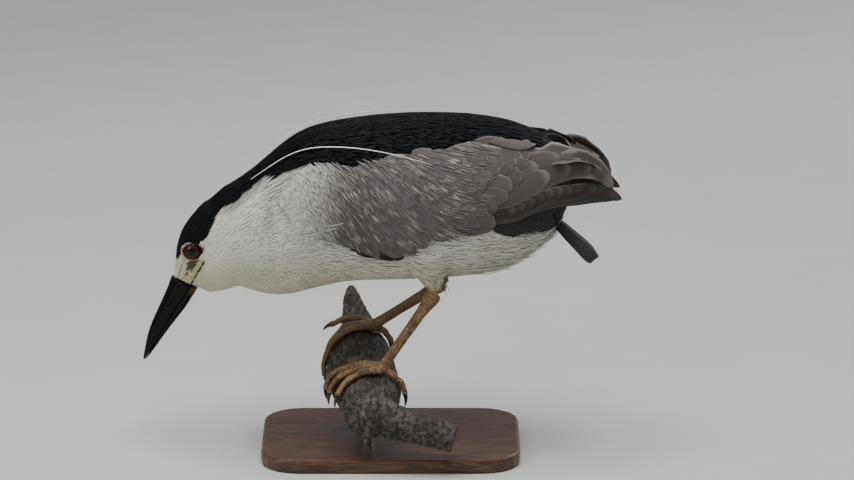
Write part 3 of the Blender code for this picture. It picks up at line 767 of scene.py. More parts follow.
def blades(name, form, rng, roots, lie, length, width, low, high, *, tip, grid, roll, thick, rim, camber,
           turn=0.06, fray=0.06, marking=None, paths=None, opening=(0.3, 0.4)):
    """Broad feathers as thin closed sheets bent over the form. low and high are the quill's and the tip's
    height over it; roll lifts one edge over the next feather; camber drops the edges; opening is the width at
    the quill and the share of the length at which it is full. Feathers with paths keep to them."""
    across, steps = grid
    count = len(roots)
    length, width, low, high = (np.broadcast_to(value, count) for value in (length, width, low, high))
    if paths is None:
        places, outs, heads = lay_lines(form, roots, lie, length, rng.normal(0, turn, count), steps)
    else:
        places, outs, heads = path_lines(form, paths)
    sides = np.cross(outs, heads)
    lines, stations = np.linspace(-1, 1, across), np.linspace(0, 1, steps)
    shares = 1 - (1 - stations) ** 1.35  # the rows draw together towards the tip
    grid_points = np.empty((count, steps, across, 3))
    grid_outs = np.empty_like(grid_points)
    lean = roll * np.sign(rng.random(count) + 0.35)
    for k, share in enumerate(shares):
        at = np.array([[np.interp(share, stations, places[i, :, c]) for c in range(3)] for i in range(count)])
        nearby = round(share * (steps - 1))
        side, out = sides[:, nearby], outs[:, nearby]
        half = width / 2 * max(blade_width(share, tip, *opening), 0.04)
        for j, line in enumerate(lines):
            ragged = 1 + fray * rng.normal(0, 1, count) * abs(line) * (share > 0.3)
            aside = at + side * (half * line * ragged)[:, None]
            landed, landed_out = form.land(aside, out, 0.4 * np.maximum(half * abs(line), 1.5))
            height = low + (high - low) * share ** 0.8
            height = height + lean * line * half / (width / 2) - camber * line * line
            grid_points[:, k, j] = landed + landed_out * height[:, None]
            grid_outs[:, k, j] = landed_out
    top = grid_points + grid_outs * thick / 2
    under = grid_points - grid_outs * thick / 2
    corners = np.concatenate((top.reshape(count, -1, 3), under.reshape(count, -1, 3)), 1)
    spots = [(line, share) for share in shares for line in lines] * 2
    if marking is None:
        marking = wing_marking(places[:, steps // 2])
    marking = np.broadcast_to(marking, (count, 4))
    rim = rim * rng.uniform(0.4, 1.2, count)
    quads, shade = blade_faces(steps, across), rng.random(count)
    return many_vanes(name, corners, quads, (), spots, width, length, roots, marking, shade, rim)


def straight(way):
    """A lie that is the same everywhere."""
    return lambda points: np.tile(way, (len(points), 1))


# ---------------------------------------------------------------- materials

NOISE = "ShaderNodeTexNoise"
CELLS = "ShaderNodeTexVoronoi"
MIX = "ShaderNodeMix"
SPAN = "ShaderNodeMapRange"
MATH = "ShaderNodeMath"
VECTOR_MATH = "ShaderNodeVectorMath"
BUMP = "ShaderNodeBump"
ATTRIBUTE = "ShaderNodeAttribute"
SPLIT = "ShaderNodeSeparateXYZ"
SPLIT_COLOUR = "ShaderNodeSeparateColor"
BLENDED = {"data_type": "RGBA"}
MULTIPLIED = {"data_type": "RGBA", "blend_type": "MULTIPLY"}
SMOOTH = {"interpolation_type": "SMOOTHSTEP"}
TIMES = {"operation": "MULTIPLY"}
PLUS = {"operation": "ADD"}
MINUS = {"operation": "SUBTRACT"}
POSITIVE = {"operation": "ABSOLUTE"}
GREATER = {"operation": "MAXIMUM"}
SINE = {"operation": "SINE"}


def connect(tree, socket, value):
    """Gives a socket a value, or links it to an output or to a node's first live output."""
    if isinstance(value, bpy.types.Node):
        value = next(output for output in value.outputs if output.enabled)
    if isinstance(value, bpy.types.NodeSocket):
        tree.links.new(value, socket)
    else:
        socket.default_value = value


def add(tree, kind, settings, *inputs, **named):
    """One node with its settings and links. Inputs fill its live sockets in order, or the named ones."""
    made = tree.nodes.new(kind)
    for key, value in settings.items():
        setattr(made, key, value)
    for socket, value in zip([socket for socket in made.inputs if socket.enabled], inputs):
        connect(tree, socket, value)
    for key, value in named.items():
        connect(tree, made.inputs[key], value)
    return made


def finish(function):
    """A material made once and named for its function, which adds nodes and gives its shader's inputs."""
    @cache
    def made_once():
        made = bpy.data.materials.new(function.__name__)
        made.use_nodes = True
        tree = made.node_tree
        for name, value in function(tree).items():
            connect(tree, tree.nodes["Principled BSDF"].inputs[name], value)
        return made

    return made_once


def place_in_mm(tree):
    """Places on the object in millimetres, so that a noise's scale is one over its grain in millimetres."""
    place = add(tree, "ShaderNodeNewGeometry", {}).outputs["Position"]
    return add(tree, VECTOR_MATH, {"operation": "SCALE"}, place, 1 / MM)


BARB_SLANT = 1.3  # barbs run this much further along for each step out from the shaft


@finish
def feather_keratin(tree):
    """Feather keratin, grown: barbs hooked into a vane, so it has a fine slanted grain, a broad gloss that
    tightens on the dark melanin-rich feathers, and worn pale edges. Real barbs are about 0.3 mm apart; they
    are drawn three times coarser so that they show."""
    look = bpy.context.scene.heron.plumage
    marking = add(tree, ATTRIBUTE, {"attribute_name": "marking"})
    shares = add(tree, SPLIT_COLOUR, {}, marking.outputs["Color"])
    black, grey, warm = shares.outputs
    shade = add(tree, ATTRIBUTE, {"attribute_name": "shade"}).outputs["Fac"]
    rim_share = add(tree, ATTRIBUTE, {"attribute_name": "rim"}).outputs["Fac"]
    spot = add(tree, ATTRIBUTE, {"attribute_name": "vane_share"}).outputs["Vector"]
    across, along, _ = add(tree, SPLIT, {}, spot).outputs
    true_spot = add(tree, ATTRIBUTE, {"attribute_name": "vane_mm"}).outputs["Vector"]
    across_mm, along_mm, _ = add(tree, SPLIT, {}, true_spot).outputs
    aside = add(tree, MATH, POSITIVE, across)
    aside_mm = add(tree, MATH, POSITIVE, across_mm)

    pale = add(tree, MIX, BLENDED, warm, look.white, look.cream)
    middle = add(tree, MIX, BLENDED, warm, look.grey, look.brown)
    colour = add(tree, MIX, BLENDED, grey, pale, middle)
    side_edge = add(tree, SPAN, SMOOTH, aside, 0.7, 1.0)
    end_edge = add(tree, SPAN, SMOOTH, along, 0.9, 0.99)
    worn = add(tree, MATH, TIMES, add(tree, MATH, GREATER, side_edge, end_edge), rim_share)
    colour = add(tree, MIX, BLENDED, worn, colour, look.worn)
    root_shade = add(tree, SPAN, SMOOTH, along, 0.1, 0.6, 0.9, 1.0)
    strength = add(tree, MATH, TIMES, add(tree, SPAN, SMOOTH, shade, 0.0, 1.0, 0.91, 1.07), root_shade)
    colour = add(tree, MIX, MULTIPLIED, 1.0, colour, strength)
    colour = add(tree, MIX, BLENDED, black, colour, look.black)

    run = add(tree, MATH, MINUS, along_mm, add(tree, MATH, TIMES, aside_mm, BARB_SLANT))
    waver = add(tree, NOISE, {}, Vector=true_spot, Scale=1 / 2.0)
    run = add(tree, MATH, PLUS, run, add(tree, MATH, TIMES, waver, 1.2))
    barbs = add(tree, MATH, SINE, add(tree, MATH, TIMES, run, 2 * math.pi * MM / look.barb_spacing))
    barb_tone = add(tree, SPAN, SMOOTH, barbs, -1.0, 1.0, 0.9, 1.06)
    colour = add(tree, MIX, MULTIPLIED, 1.0, colour, barb_tone)
    shaft = add(tree, SPAN, SMOOTH, aside_mm, 0.25, 0.55, 1.0, 0.0)
    height = add(tree, MATH, PLUS, add(tree, MATH, TIMES, barbs, 0.25), shaft)
    return {
        "Base Color": colour,
        "Roughness": add(tree, SPAN, SMOOTH, black, 0.0, 1.0, 0.65, 0.5),
        "Normal": add(tree, BUMP, {}, Strength=0.35, Distance=0.00025, Height=height),
        "IOR": 1.54,
        "Specular IOR Level": 0.14,
    }


@finish
def downy_skin(tree):
    """Living skin between the feathers, coloured as the down over it, so that no gap shows pale."""
    marking = add(tree, ATTRIBUTE, {"attribute_name": "marking"})
    black, grey, _ = add(tree, SPLIT_COLOUR, {}, marking.outputs["Color"]).outputs
    down = add(tree, NOISE, {}, Vector=place_in_mm(tree), Scale=1 / 1.25, Detail=4.0)  # tufts of down
    colour = add(tree, MIX, BLENDED, down, linear("#b5b0a2"), linear("#d2cdbf"))
    colour = add(tree, MIX, BLENDED, grey, colour, linear("#5c5654"))
    colour = add(tree, MIX, BLENDED, black, colour, linear("#0b0e15"))
    return {
        "Base Color": colour,
        "Roughness": 0.8,
        "Normal": add(tree, BUMP, {}, Strength=0.5, Distance=0.0006, Height=down),
        "IOR": 1.45,
    }


@finish
def lore_skin(tree):
    """Bare living skin of the lores: thin, pebbled and a little waxy, pale yellow-green with olive stains,
    painted shade under the eye.
    """
    look = bpy.context.scene.heron.bare_parts
    place = place_in_mm(tree)
    shares = add(tree, ATTRIBUTE, {"attribute_name": "face_tone"})
    dark, pale, pink = add(tree, SPLIT_COLOUR, {}, shares.outputs["Color"]).outputs
    patches = add(tree, NOISE, {}, Vector=place, Scale=1 / 3.3, Detail=4.0)  # blotches of the skin
    pebbles = add(tree, CELLS, {}, Vector=place, Scale=1 / 0.77)  # its grain
    olive = add(tree, SPAN, SMOOTH, patches, 0.4, 0.62)
    colour = add(tree, MIX, BLENDED, olive, look.lores, linear("#7d7a48"))
    colour = add(tree, MIX, BLENDED, pale, colour, linear("#d3ceb4"))
    colour = add(tree, MIX, BLENDED, pink, colour, linear("#a9764f"))
    hollow = add(tree, SPAN, SMOOTH, pebbles, 0.25, 0.6, 0.0, 0.5)
    colour = add(tree, MIX, BLENDED, hollow, colour, linear("#d8d3ae"))
    # Painted shade under the eye, in dark olive.
    stain = add(tree, MATH, TIMES, shares.outputs["Alpha"], 0.9)
    colour = add(tree, MIX, BLENDED, stain, colour, look.under_eye_shade)
    colour = add(tree, MIX, BLENDED, dark, colour, linear("#14150c"))
    return {
        "Base Color": colour,
        "Roughness": 0.45,
        "Normal": add(tree, BUMP, {}, Strength=0.6, Distance=0.0004, Height=pebbles),
        "IOR": 1.45,
        "Specular IOR Level": 0.35,
        "Subsurface Weight": 0.08,
        "Subsurface Radius": (0.003, 0.002, 0.001),
    }


@finish
def leg_scales(tree):
    """Scaled skin of legs and toes: small raised plates of tan horn with darker grooves, satin where worn."""
    look = bpy.context.scene.heron.bare_parts
    place = place_in_mm(tree)
    scales = add(tree, CELLS, {"feature": "DISTANCE_TO_EDGE"}, Vector=place, Scale=MM / look.scale_size)
    patches = add(tree, NOISE, {}, Vector=place, Scale=1 / 11, Detail=4.0)  # stains along the leg
    fine = add(tree, NOISE, {}, Vector=place, Scale=1 / 1.4, Detail=3.0)  # wear of single scales
    colour = add(tree, MIX, BLENDED, add(tree, SPAN, SMOOTH, patches, 0.38, 0.64), look.leg, look.leg_dark)
    worn = add(tree, SPAN, SMOOTH, fine, 0.45, 0.75, 0.0, 0.5)
    colour = add(tree, MIX, BLENDED, worn, colour, linear("#d0ab7c"))
    _, sideways, _ = add(tree, SPLIT, {}, place).outputs
    # Painted shade: the right leg, the one far from the camera, is painted darker.
    far_leg_painted_shade = add(tree, SPAN, SMOOTH, sideways, 0.0, 14.0, 0.0, 0.4)  # the right leg is a little darker
    colour = add(tree, MIX, BLENDED, far_leg_painted_shade, colour, linear("#4b4128"))
    groove = add(tree, SPAN, SMOOTH, scales, 0.0, 0.2)
    colour = add(tree, MIX, BLENDED, groove, linear("#4a3320"), colour)
    return {
        "Base Color": colour,
        "Roughness": add(tree, SPAN, SMOOTH, fine, 0.3, 0.7, 0.42, 0.58),
        "Normal": add(tree, BUMP, {}, Strength=0.6, Distance=0.0003, Height=groove),
        "IOR": 1.5,
    }


@finish
def lid_rim(tree):
    """The lids' wet dark rim: thin bare skin that shines."""
    tone = add(tree, NOISE, {}, Vector=place_in_mm(tree), Scale=1 / 0.8)
    colour = add(tree, MIX, BLENDED, tone, linear("#1b1512"), linear("#3a2d20"))
    return {"Base Color": colour, "Roughness": 0.35, "IOR": 1.45}


@finish
def lid_fold(tree):
    """The soft fold round the lids: pale bare skin with fine wrinkles and darker creases."""
    place = place_in_mm(tree)
    wrinkles = add(tree, NOISE, {}, Vector=place, Scale=1 / 0.6, Detail=4.0)
    creases = add(tree, NOISE, {}, Vector=place, Scale=1 / 2.2, Detail=3.0)
    pale = add(tree, SPAN, SMOOTH, wrinkles, 0.35, 0.6)
    colour = add(tree, MIX, BLENDED, pale, linear("#7b7552"), linear("#cbc5a8"))
    colour = add(tree, MIX, BLENDED, add(tree, SPAN, SMOOTH, creases, 0.5, 0.66), colour, linear("#4e4a30"))
    return {
        "Base Color": colour,
        "Roughness": 0.5,
        "Normal": add(tree, BUMP, {}, Strength=0.4, Distance=0.0003, Height=wrinkles),
        "IOR": 1.45,
    }


@finish
def glass_eye(tree):
    """A glass eye as taxidermists fit: iris fibres painted in deep red behind clear polished glass."""
    look = bpy.context.scene.heron.bare_parts
    pupil, iris_edge = look.pupil_radius / MM, look.iris_radius / MM
    spot = add(tree, ATTRIBUTE, {"attribute_name": "from_pupil"}).outputs["Vector"]
    away, _, _ = add(tree, SPLIT, {}, spot).outputs
    rays = add(tree, VECTOR_MATH, TIMES, spot, (0.35, 9.0, 9.0))  # about 9 fibres to a quarter turn
    fibres = add(tree, NOISE, {}, Vector=rays, Scale=1.0, Detail=4.0)
    iris = add(tree, MIX, BLENDED, fibres, look.iris_dark, look.iris)
    iris = add(tree, MIX, BLENDED, add(tree, SPAN, SMOOTH, away, 4.0, iris_edge), iris, linear("#2a0302"))
    in_iris = add(tree, SPAN, SMOOTH, away, pupil - 0.2, pupil + 0.25)
    colour = add(tree, MIX, BLENDED, in_iris, linear("#020203"), iris)
    outside = add(tree, SPAN, SMOOTH, away, iris_edge - 0.6, iris_edge)
    colour = add(tree, MIX, BLENDED, outside, colour, linear("#140303"))
    return {
        "Base Color": colour,
        "Roughness": 0.5,
        "IOR": 1.5,
        "Specular IOR Level": 0.05,
        "Coat Weight": 0.55,
        "Coat Roughness": 0.03,
        "Coat IOR": 1.5,
    }


@finish
def polished_horn(tree):
    """Horn of the bill, grown in long fibres and worn smooth: near black with a tight gloss and fine
    lengthwise scratches, flesh-coloured at the root of the lower half."""
    look = bpy.context.scene.heron.bare_parts
    place = place_in_mm(tree)
    turned = add(tree, "ShaderNodeMapping", {}, Vector=place, Rotation=(0, -HEAD_PITCH, 0))
    stretched = add(tree, VECTOR_MATH, TIMES, turned, (0.06, 1.6, 1.6))  # fibres 0.6 mm wide and 17 mm long
    fibres = add(tree, NOISE, {}, Vector=stretched, Scale=1.0, Detail=5.0)
    wear = add(tree, NOISE, {}, Vector=place, Scale=1 / 8.3, Detail=4.0)
    dark = add(tree, SPAN, SMOOTH, fibres, 0.45, 0.75)
    colour = add(tree, MIX, BLENDED, dark, look.bill, linear("#0f100f"))
    scuffed = add(tree, SPAN, SMOOTH, wear, 0.6, 0.75, 0.0, 0.35)
    colour = add(tree, MIX, BLENDED, scuffed, colour, linear("#2a2924"))
    root = add(tree, ATTRIBUTE, {"attribute_name": "root_share"}).outputs["Fac"]
    colour = add(tree, MIX, BLENDED, root, colour, look.bill_root)
    return {
        "Base Color": colour,
        "Roughness": add(tree, SPAN, SMOOTH, wear, 0.3, 0.7, 0.13, 0.3),
        "Normal": add(tree, BUMP, {}, Strength=0.3, Distance=0.0002, Height=fibres),
        "IOR": 1.55,
        "Specular IOR Level": 0.16,
    }


@finish
def claw_horn(tree):
    """Horn of the claws: dark, worn paler and duller in patches."""
    look = bpy.context.scene.heron.bare_parts
    grain = add(tree, NOISE, {}, Vector=place_in_mm(tree), Scale=1 / 1.1, Detail=4.0)
    colour = add(tree, MIX, BLENDED, add(tree, SPAN, SMOOTH, grain, 0.4, 0.7), look.claw, linear("#3e342a"))
    return {
        "Base Color": colour,
        "Roughness": 0.35,
        "Normal": add(tree, BUMP, {}, Strength=0.3, Distance=0.0002, Height=grain),
        "IOR": 1.55,
    }


@finish
def white_keratin(tree):
    """White keratin with no pigment: silky, with a fine grain, as coarse as the other feathers' barbs."""
    look = bpy.context.scene.heron.plumage
    grain = add(tree, NOISE, {}, Vector=place_in_mm(tree), Scale=1 / 0.9, Detail=3.0)
    colour = add(tree, MIX, BLENDED, grain, linear("#e9e6da"), look.plume)
    return {"Base Color": colour, "Roughness": 0.5, "IOR": 1.54, "Sheen Weight": 0.2}


@finish
def weathered_bark(tree):
    """Dead branch, rained on and dried: grey-brown bark with pale worn ridges and near black furrows."""
    look = bpy.context.scene.heron.stand
    place = place_in_mm(tree)
    long = add(tree, VECTOR_MATH, TIMES, place, (1 / 6.3, 1 / 20, 1 / 6.3))  # furrows run along the branch
    furrows = add(tree, NOISE, {}, Vector=long, Scale=1.6, Detail=7.0, Roughness=0.65)
    blotches = add(tree, NOISE, {}, Vector=place, Scale=1 / 17, Detail=5.0)
    grit = add(tree, NOISE, {}, Vector=place, Scale=1 / 1.3, Detail=5.0)
    colour = add(tree, MIX, BLENDED, add(tree, SPAN, SMOOTH, blotches, 0.38, 0.62), look.bark_dark, look.bark)
    raised = add(tree, SPAN, SMOOTH, furrows, 0.42, 0.58)
    colour = add(tree, MIX, BLENDED, raised, linear("#28221d"), colour)
    worn = add(tree, SPAN, SMOOTH, grit, 0.55, 0.78, 0.0, 0.4)
    colour = add(tree, MIX, BLENDED, worn, colour, look.bark_ridge)
    height = add(tree, MATH, PLUS, furrows, add(tree, MATH, TIMES, grit, 0.4))
    return {
        "Base Color": colour,
        "Roughness": 0.85,
        "Normal": add(tree, BUMP, {}, Strength=0.7, Distance=0.0009, Height=height),
        "IOR": 1.45,
    }


@finish
def oiled_walnut(tree):
    """Walnut, planed, sanded and oiled: long brown grain with fine dark pores and a soft sheen."""
    look = bpy.context.scene.heron.stand
    place = place_in_mm(tree)
    long = add(tree, VECTOR_MATH, TIMES, place, (1 / 83, 1 / 10, 1 / 10))  # the grain runs along X
    drift = add(tree, NOISE, {}, Vector=long, Scale=1.0, Detail=4.0, Distortion=0.6)
    rings = add(tree, MATH, SINE, add(tree, MATH, TIMES, drift, 42.0))
    slits = add(tree, VECTOR_MATH, TIMES, place, (1 / 12, 1 / 0.7, 1 / 0.7))  # pores
    pores = add(tree, NOISE, {}, Vector=slits, Scale=1.0, Detail=3.0)
    colour = add(tree, MIX, BLENDED, add(tree, SPAN, SMOOTH, rings, -1.0, 1.0), look.walnut_dark, look.walnut)
    pitted = add(tree, SPAN, SMOOTH, pores, 0.58, 0.72, 0.0, 0.6)
    colour = add(tree, MIX, BLENDED, pitted, colour, linear("#1f130c"))
    return {
        "Base Color": colour,
        "Roughness": 0.38,
        "Normal": add(tree, BUMP, {}, Strength=0.25, Distance=0.0003, Height=pores),
        "IOR": 1.5,
    }


@finish
def brushed_steel(tree):
    """Stainless steel rod, brushed round: fine rings that streak the highlight. Real ones are finer than a
    tenth of a millimetre; they are drawn 0.3 mm apart so that they show."""
    look = bpy.context.scene.heron.stand
    rings = add(tree, VECTOR_MATH, TIMES, place_in_mm(tree), (1 / 6.7, 1 / 6.7, 1 / 0.29))
    brush = add(tree, NOISE, {}, Vector=rings, Scale=1.0, Detail=4.0)
    return {
        "Base Color": add(tree, MIX, BLENDED, brush, linear("#9b9a98"), look.steel),
        "Metallic": 1.0,
        "Roughness": add(tree, SPAN, SMOOTH, brush, 0.3, 0.7, 0.25, 0.4),
        "Normal": add(tree, BUMP, {}, Strength=0.2, Distance=0.0001, Height=brush),
    }


FLOOR_REACH = 15  # from the middle of the floor to its edge, in metres
CLOUD = 0.075  # across the clouds in its paper


@finish
def matt_paper(tree):
    """Matt paper of a studio floor, rolled: no gloss, a barely seen cloudiness."""
    look = bpy.context.scene.heron.studio
    clouds = add(tree, NOISE, {}, Scale=2 * FLOOR_REACH / CLOUD, Detail=3.0)
    return {
        "Base Color": add(tree, MIX, BLENDED, clouds, linear("#b9bab6"), look.floor),
        "Roughness": 0.9,
    }


# ---------------------------------------------------------------- the forms that the coat is laid on

FORM_VOXEL = 1.8
BODY_NODES = ("trunk", "neck", "head", "eye_left", "eye_right", "thigh_left", "thigh_right")
WING_STATIONS, WING_LINES = 76, 25  # places along the wing, and up its outer face


@cache
def body_form():
    """The coat's outer form over head, neck, trunk and thighs."""
    return form_of(evened(joined_copy("body_form", BODY_NODES), FORM_VOXEL, 10))


@cache
def whole_form():
    """The same form with the folded wings on it."""
    nodes = BODY_NODES + ("wing_left", "wing_right")
    return form_of(evened(joined_copy("whole_form", nodes), FORM_VOXEL, 8))


@cache
def solid_tree(node):
    """A solid to look up places on, in millimetres."""
    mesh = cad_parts[node].data
    corners = [list(v.co / MM) for v in mesh.vertices]
    return BVHTree.FromPolygons(corners, [list(p.vertices) for p in mesh.polygons])


@cache
def wing_grid(side):
    """Places on the folded wing's outer face: along X, and up from its lower edge and in over the back."""
    sign = SIDES[side]
    tree = solid_tree(f"wing_{side}")
    points = node_points(f"wing_{side}")
    first, last = points[:, 0].min() + 0.5, points[:, 0].max() - 0.5
    rows = []
    for x in np.linspace(first, last, WING_STATIONS):
        near = points[abs(points[:, 0] - x) < 12]
        middle = (near[:, 2].min() + near[:, 2].max()) / 2
        line = []
        for turn in np.radians(np.arange(165, 12, -2.0)):
            way = np.array((0, sign * math.sin(turn), math.cos(turn)))
            hit, normal, _, _ = tree.ray_cast(np.array((x, 0, middle)) + way * 150, -way)
            if hit is not None and (normal.y * sign > 0.25 or normal.z > 0.6):
                line.append(np.array(hit))
        rows.append(resampled(np.array(line), WING_LINES))
    return calmed(np.array(rows), 3)


@cache
def wing_form(side):
    """The wing's outer face, carried on a little past its edges."""
    return overhung(wing_grid(side), (5, 3.0), (4, 3.0), (0, SIDES[side], 0.3))


def on_grid(grid, along, across):
    """Places on a grid at these shares of the way along its rows and columns."""
    rows, columns = grid.shape[:2]
    row = np.clip(np.asarray(along, float) * (rows - 1), 0, rows - 1.001)
    column = np.clip(np.asarray(across, float) * (columns - 1), 0, columns - 1.001)
    i, j = row.astype(int), column.astype(int)
    a, b = (row - i)[..., None], (column - j)[..., None]
    near = grid[i, j] * (1 - a) + grid[i + 1, j] * a
    far = grid[i, j + 1] * (1 - a) + grid[i + 1, j + 1] * a
    return near * (1 - b) + far * b


def on_wing(side, x, share):
    """Places on the wing at these X and shares of the way up its outer face."""
    grid = wing_grid(side)
    along = (np.asarray(x, float) - grid[0, 0, 0]) / (grid[-1, 0, 0] - grid[0, 0, 0])
    return on_grid(grid, along, share)


def beside_wing(points):
    """How far points are from the folded wings."""
    left, right = solid_tree("wing_left"), solid_tree("wing_right")
    return np.array([(left if p[1] < 0 else right).find_nearest(p)[3] for p in points.tolist()])


# ---------------------------------------------------------------- pieces

def finish_feathers(mesh, slot, *replaced):
    """A piece made of a mesh of feathers, finished and put in its place."""
    finish_piece(new_piece(mesh.name, mesh, feather_keratin()), slot, *replaced)


def build_coat(label, keep, seed, form):
    """One piece of the body's coat: the tufts whose roots fall in this region."""
    rng = np.random.default_rng(seed)
    overlap = bpy.context.scene.heron.plumage.overlap
    roots = form.scatter(rng, lambda p: np.sqrt(vane_length(p) * vane_width(p) / overlap), keep)
    length = vane_length(roots) * rng.uniform(0.8, 1.2, len(roots))
    width = vane_width(roots) * rng.uniform(0.8, 1.2, len(roots))
    mesh = tufts(label, form, rng, roots, lie_of_coat, length, width, coat_depth(roots), jitter=0.08)
    finish_feathers(mesh, "body_feathers")


def build_wisps(label, keep, seed, form, way, apart, length, width, lift, over):
    """Loose tufts that stand a little off the coat, of lengths and widths between two values each."""
    rng = np.random.default_rng(seed)
    roots = form.scatter(rng, lambda p: np.full(len(p), apart), keep)
    count = len(roots)
    marking = as_marking(np.zeros(count), rng.uniform(0, 0.25, count), np.full(count, 0.25))
    length, width = rng.uniform(*length, count), rng.uniform(*width, count)
    mesh = tufts(label, form, rng, roots, straight(way), length, width, 1.0, 0.12, marking, lift, over)
    finish_feathers(mesh, "body_feathers")


def feathered(points):
    """Where the head's and neck's coat grows: not on the eyes, the bare face or the bill's root."""
    back, rise = head_place(points)
    near_bill = (back < 2.5) | (back < 9) & (rise < 7.5) & (rise > -12)
    eye = (eye_distance(points) < 1.12) & (points[:, 0] < HEAD_END)
    return ~near_bill & ~eye & (bare_face(points) < 0.5)


NECK_END = -100
WING_FRONT = -84  # ahead of this, the body's own soft feathers run over the wing
BACK_START = -60  # behind this, the coat is laid on the body alone, and runs on under the wings
BELLY_TOP = 235


def build_coats():
    """The body's coat in pieces, each a region of one side. p are places and n are the ways out there."""
    def on_side(sign, region):
        return lambda p, n: ((p[:, 1] >= 0) == (sign > 0)) & region(p, n)

    def head(p, n):
        return feathered(p) & (p[:, 0] < HEAD_END)

    def neck(p, n):
        return feathered(p) & (p[:, 0] >= HEAD_END) & (p[:, 0] < NECK_END)

    def breast(p, n):
        clear = (beside_wing(p) > 0.9) | (p[:, 0] < WING_FRONT)
        return (p[:, 0] >= NECK_END) & (p[:, 0] < BACK_START) & clear

    def back(p, n):
        clear = (beside_wing(p) > 0.6) | (p[:, 2] > 285)
        return (p[:, 0] >= BACK_START) & (p[:, 2] > BELLY_TOP) & clear

    def belly(p, n):
        edge = on_wing("left", p[:, 0], np.zeros(len(p)))[:, 2]
        clear = (beside_wing(p) > 0.6) | (p[:, 2] < edge + 8)
        return (p[:, 0] >= BACK_START) & (p[:, 2] <= BELLY_TOP) & clear

    regions = {head: whole_form, neck: whole_form, breast: whole_form, back: body_form, belly: body_form}
    for seed, (side, sign) in enumerate(SIDES.items(), 1):
        for number, (region, form) in enumerate(regions.items()):
            build_coat(f"coat_{region.__name__}_{side}", on_side(sign, region), seed + 2 * number, form())

    def breast_side(p, n):
        ragged = 14 * uneven(p, 9, 1)
        return (abs(p[:, 0] + 82 + ragged) < 18) & (abs(p[:, 2] - 193 + ragged) < 11) & (abs(n[:, 1]) > 0.5)

    def vent(p, n):
        return (p[:, 0] > 56) & (p[:, 2] < 196) & (n[:, 2] < 0.3)

    def flank(p, n):
        return (abs(p[:, 0] + 16) < 14) & (p[:, 2] > 176) & (p[:, 2] < 184) & (abs(n[:, 1]) > 0.6)

    build_wisps(
        "breast_wisps", breast_side, 31, whole_form(), (1.0, 0, 0.45),
        apart=4.2, length=(14, 24), width=(0.6, 1.0), lift=1.2, over=0.3,
    )
    build_wisps(
        "vent_wisps", vent, 32, body_form(), (1.0, 0, 0.12),
        apart=3.6, length=(18, 28), width=(0.9, 1.6), lift=5.0, over=0.2,
    )
    build_wisps(
        "flank_wisps", flank, 33, body_form(), (1.0, 0, -0.12),
        apart=5.0, length=(18, 24), width=(1.0, 1.6), lift=1.0, over=1.6,
    )


# ---------------------------------------------------------------- skin, eyes and horn

SKIN_VOXEL = 1.9
LEG_VOXEL = 0.6
ARM_REACH_X = 102  # the wing's flesh ends here; its feathers go on
ARM_MIDDLE_X = 10
ARM_DEPTH, ARM_HEIGHT, ARM_LENGTH = 3.0, 0.84, 0.94  # how far in it lies, and its shares of the solid's size


def wing_arm(side):
    """The flesh of a folded wing, drawn in from the feathers' outline."""
    sign = SIDES[side]
    thing = joined_copy(f"arm_{side}", (f"wing_{side}",))
    bm = bmesh.new()
    bm.from_mesh(thing.data)
    bmesh.ops.remove_doubles(bm, verts=bm.verts, dist=0.00002)
    whole = bm.verts[:] + bm.edges[:] + bm.faces[:]
    cut = bmesh.ops.bisect_plane(
        bm, geom=whole, plane_co=(ARM_REACH_X * MM, 0, 0), plane_no=(1, 0, 0), clear_outer=True
    )
    rim = [e for e in cut["geom_cut"] if isinstance(e, bmesh.types.BMEdge)]
    bmesh.ops.holes_fill(bm, edges=rim)
    bm.to_mesh(thing.data)
    bm.free()
    points = read_points(thing.data)
    near = [points[abs(points[:, 0] - x) < 12][:, 2] for x in points[:, 0]]
    middle_z = np.array([(z.min() + z.max()) / 2 for z in near])
    points[:, 2] = middle_z + (points[:, 2] - middle_z) * ARM_HEIGHT
    points[:, 0] = ARM_MIDDLE_X + (points[:, 0] - ARM_MIDDLE_X) * ARM_LENGTH
    points[:, 1] -= sign * ARM_DEPTH
    write_points(thing.data, points)
    return thing


def refined(thing, wanted):
    """The faces that wanted picks, cut in four."""
    bm = bmesh.new()
    bm.from_mesh(thing.data)
    centres = np.array([f.calc_center_median() for f in bm.faces]) / MM
    picked = wanted(centres)
    bm.faces.ensure_lookup_table()
    edges = dict.fromkeys(e for f, take in zip(bm.faces, picked) if take for e in f.edges)  # in a fixed order
    bmesh.ops.subdivide_edges(bm, edges=list(edges), cuts=1, use_grid_fill=True)
    bmesh.ops.triangulate(bm, faces=[f for f in bm.faces if len(f.verts) > 4])
    bm.to_mesh(thing.data)
    bm.free()


def eyeball_side(points):
    """How far out to the side the eyeball's surface is at these places seen from the side."""
    centre = EYE_CENTRE["left"]
    reach = np.hypot(points[:, 0] - centre[0], points[:, 2] - centre[2]) / EYE_HALF[0]
    return abs(centre[1]) + EYE_HALF[1] * np.sqrt(np.clip(1 - reach ** 2, 0.02, 1))


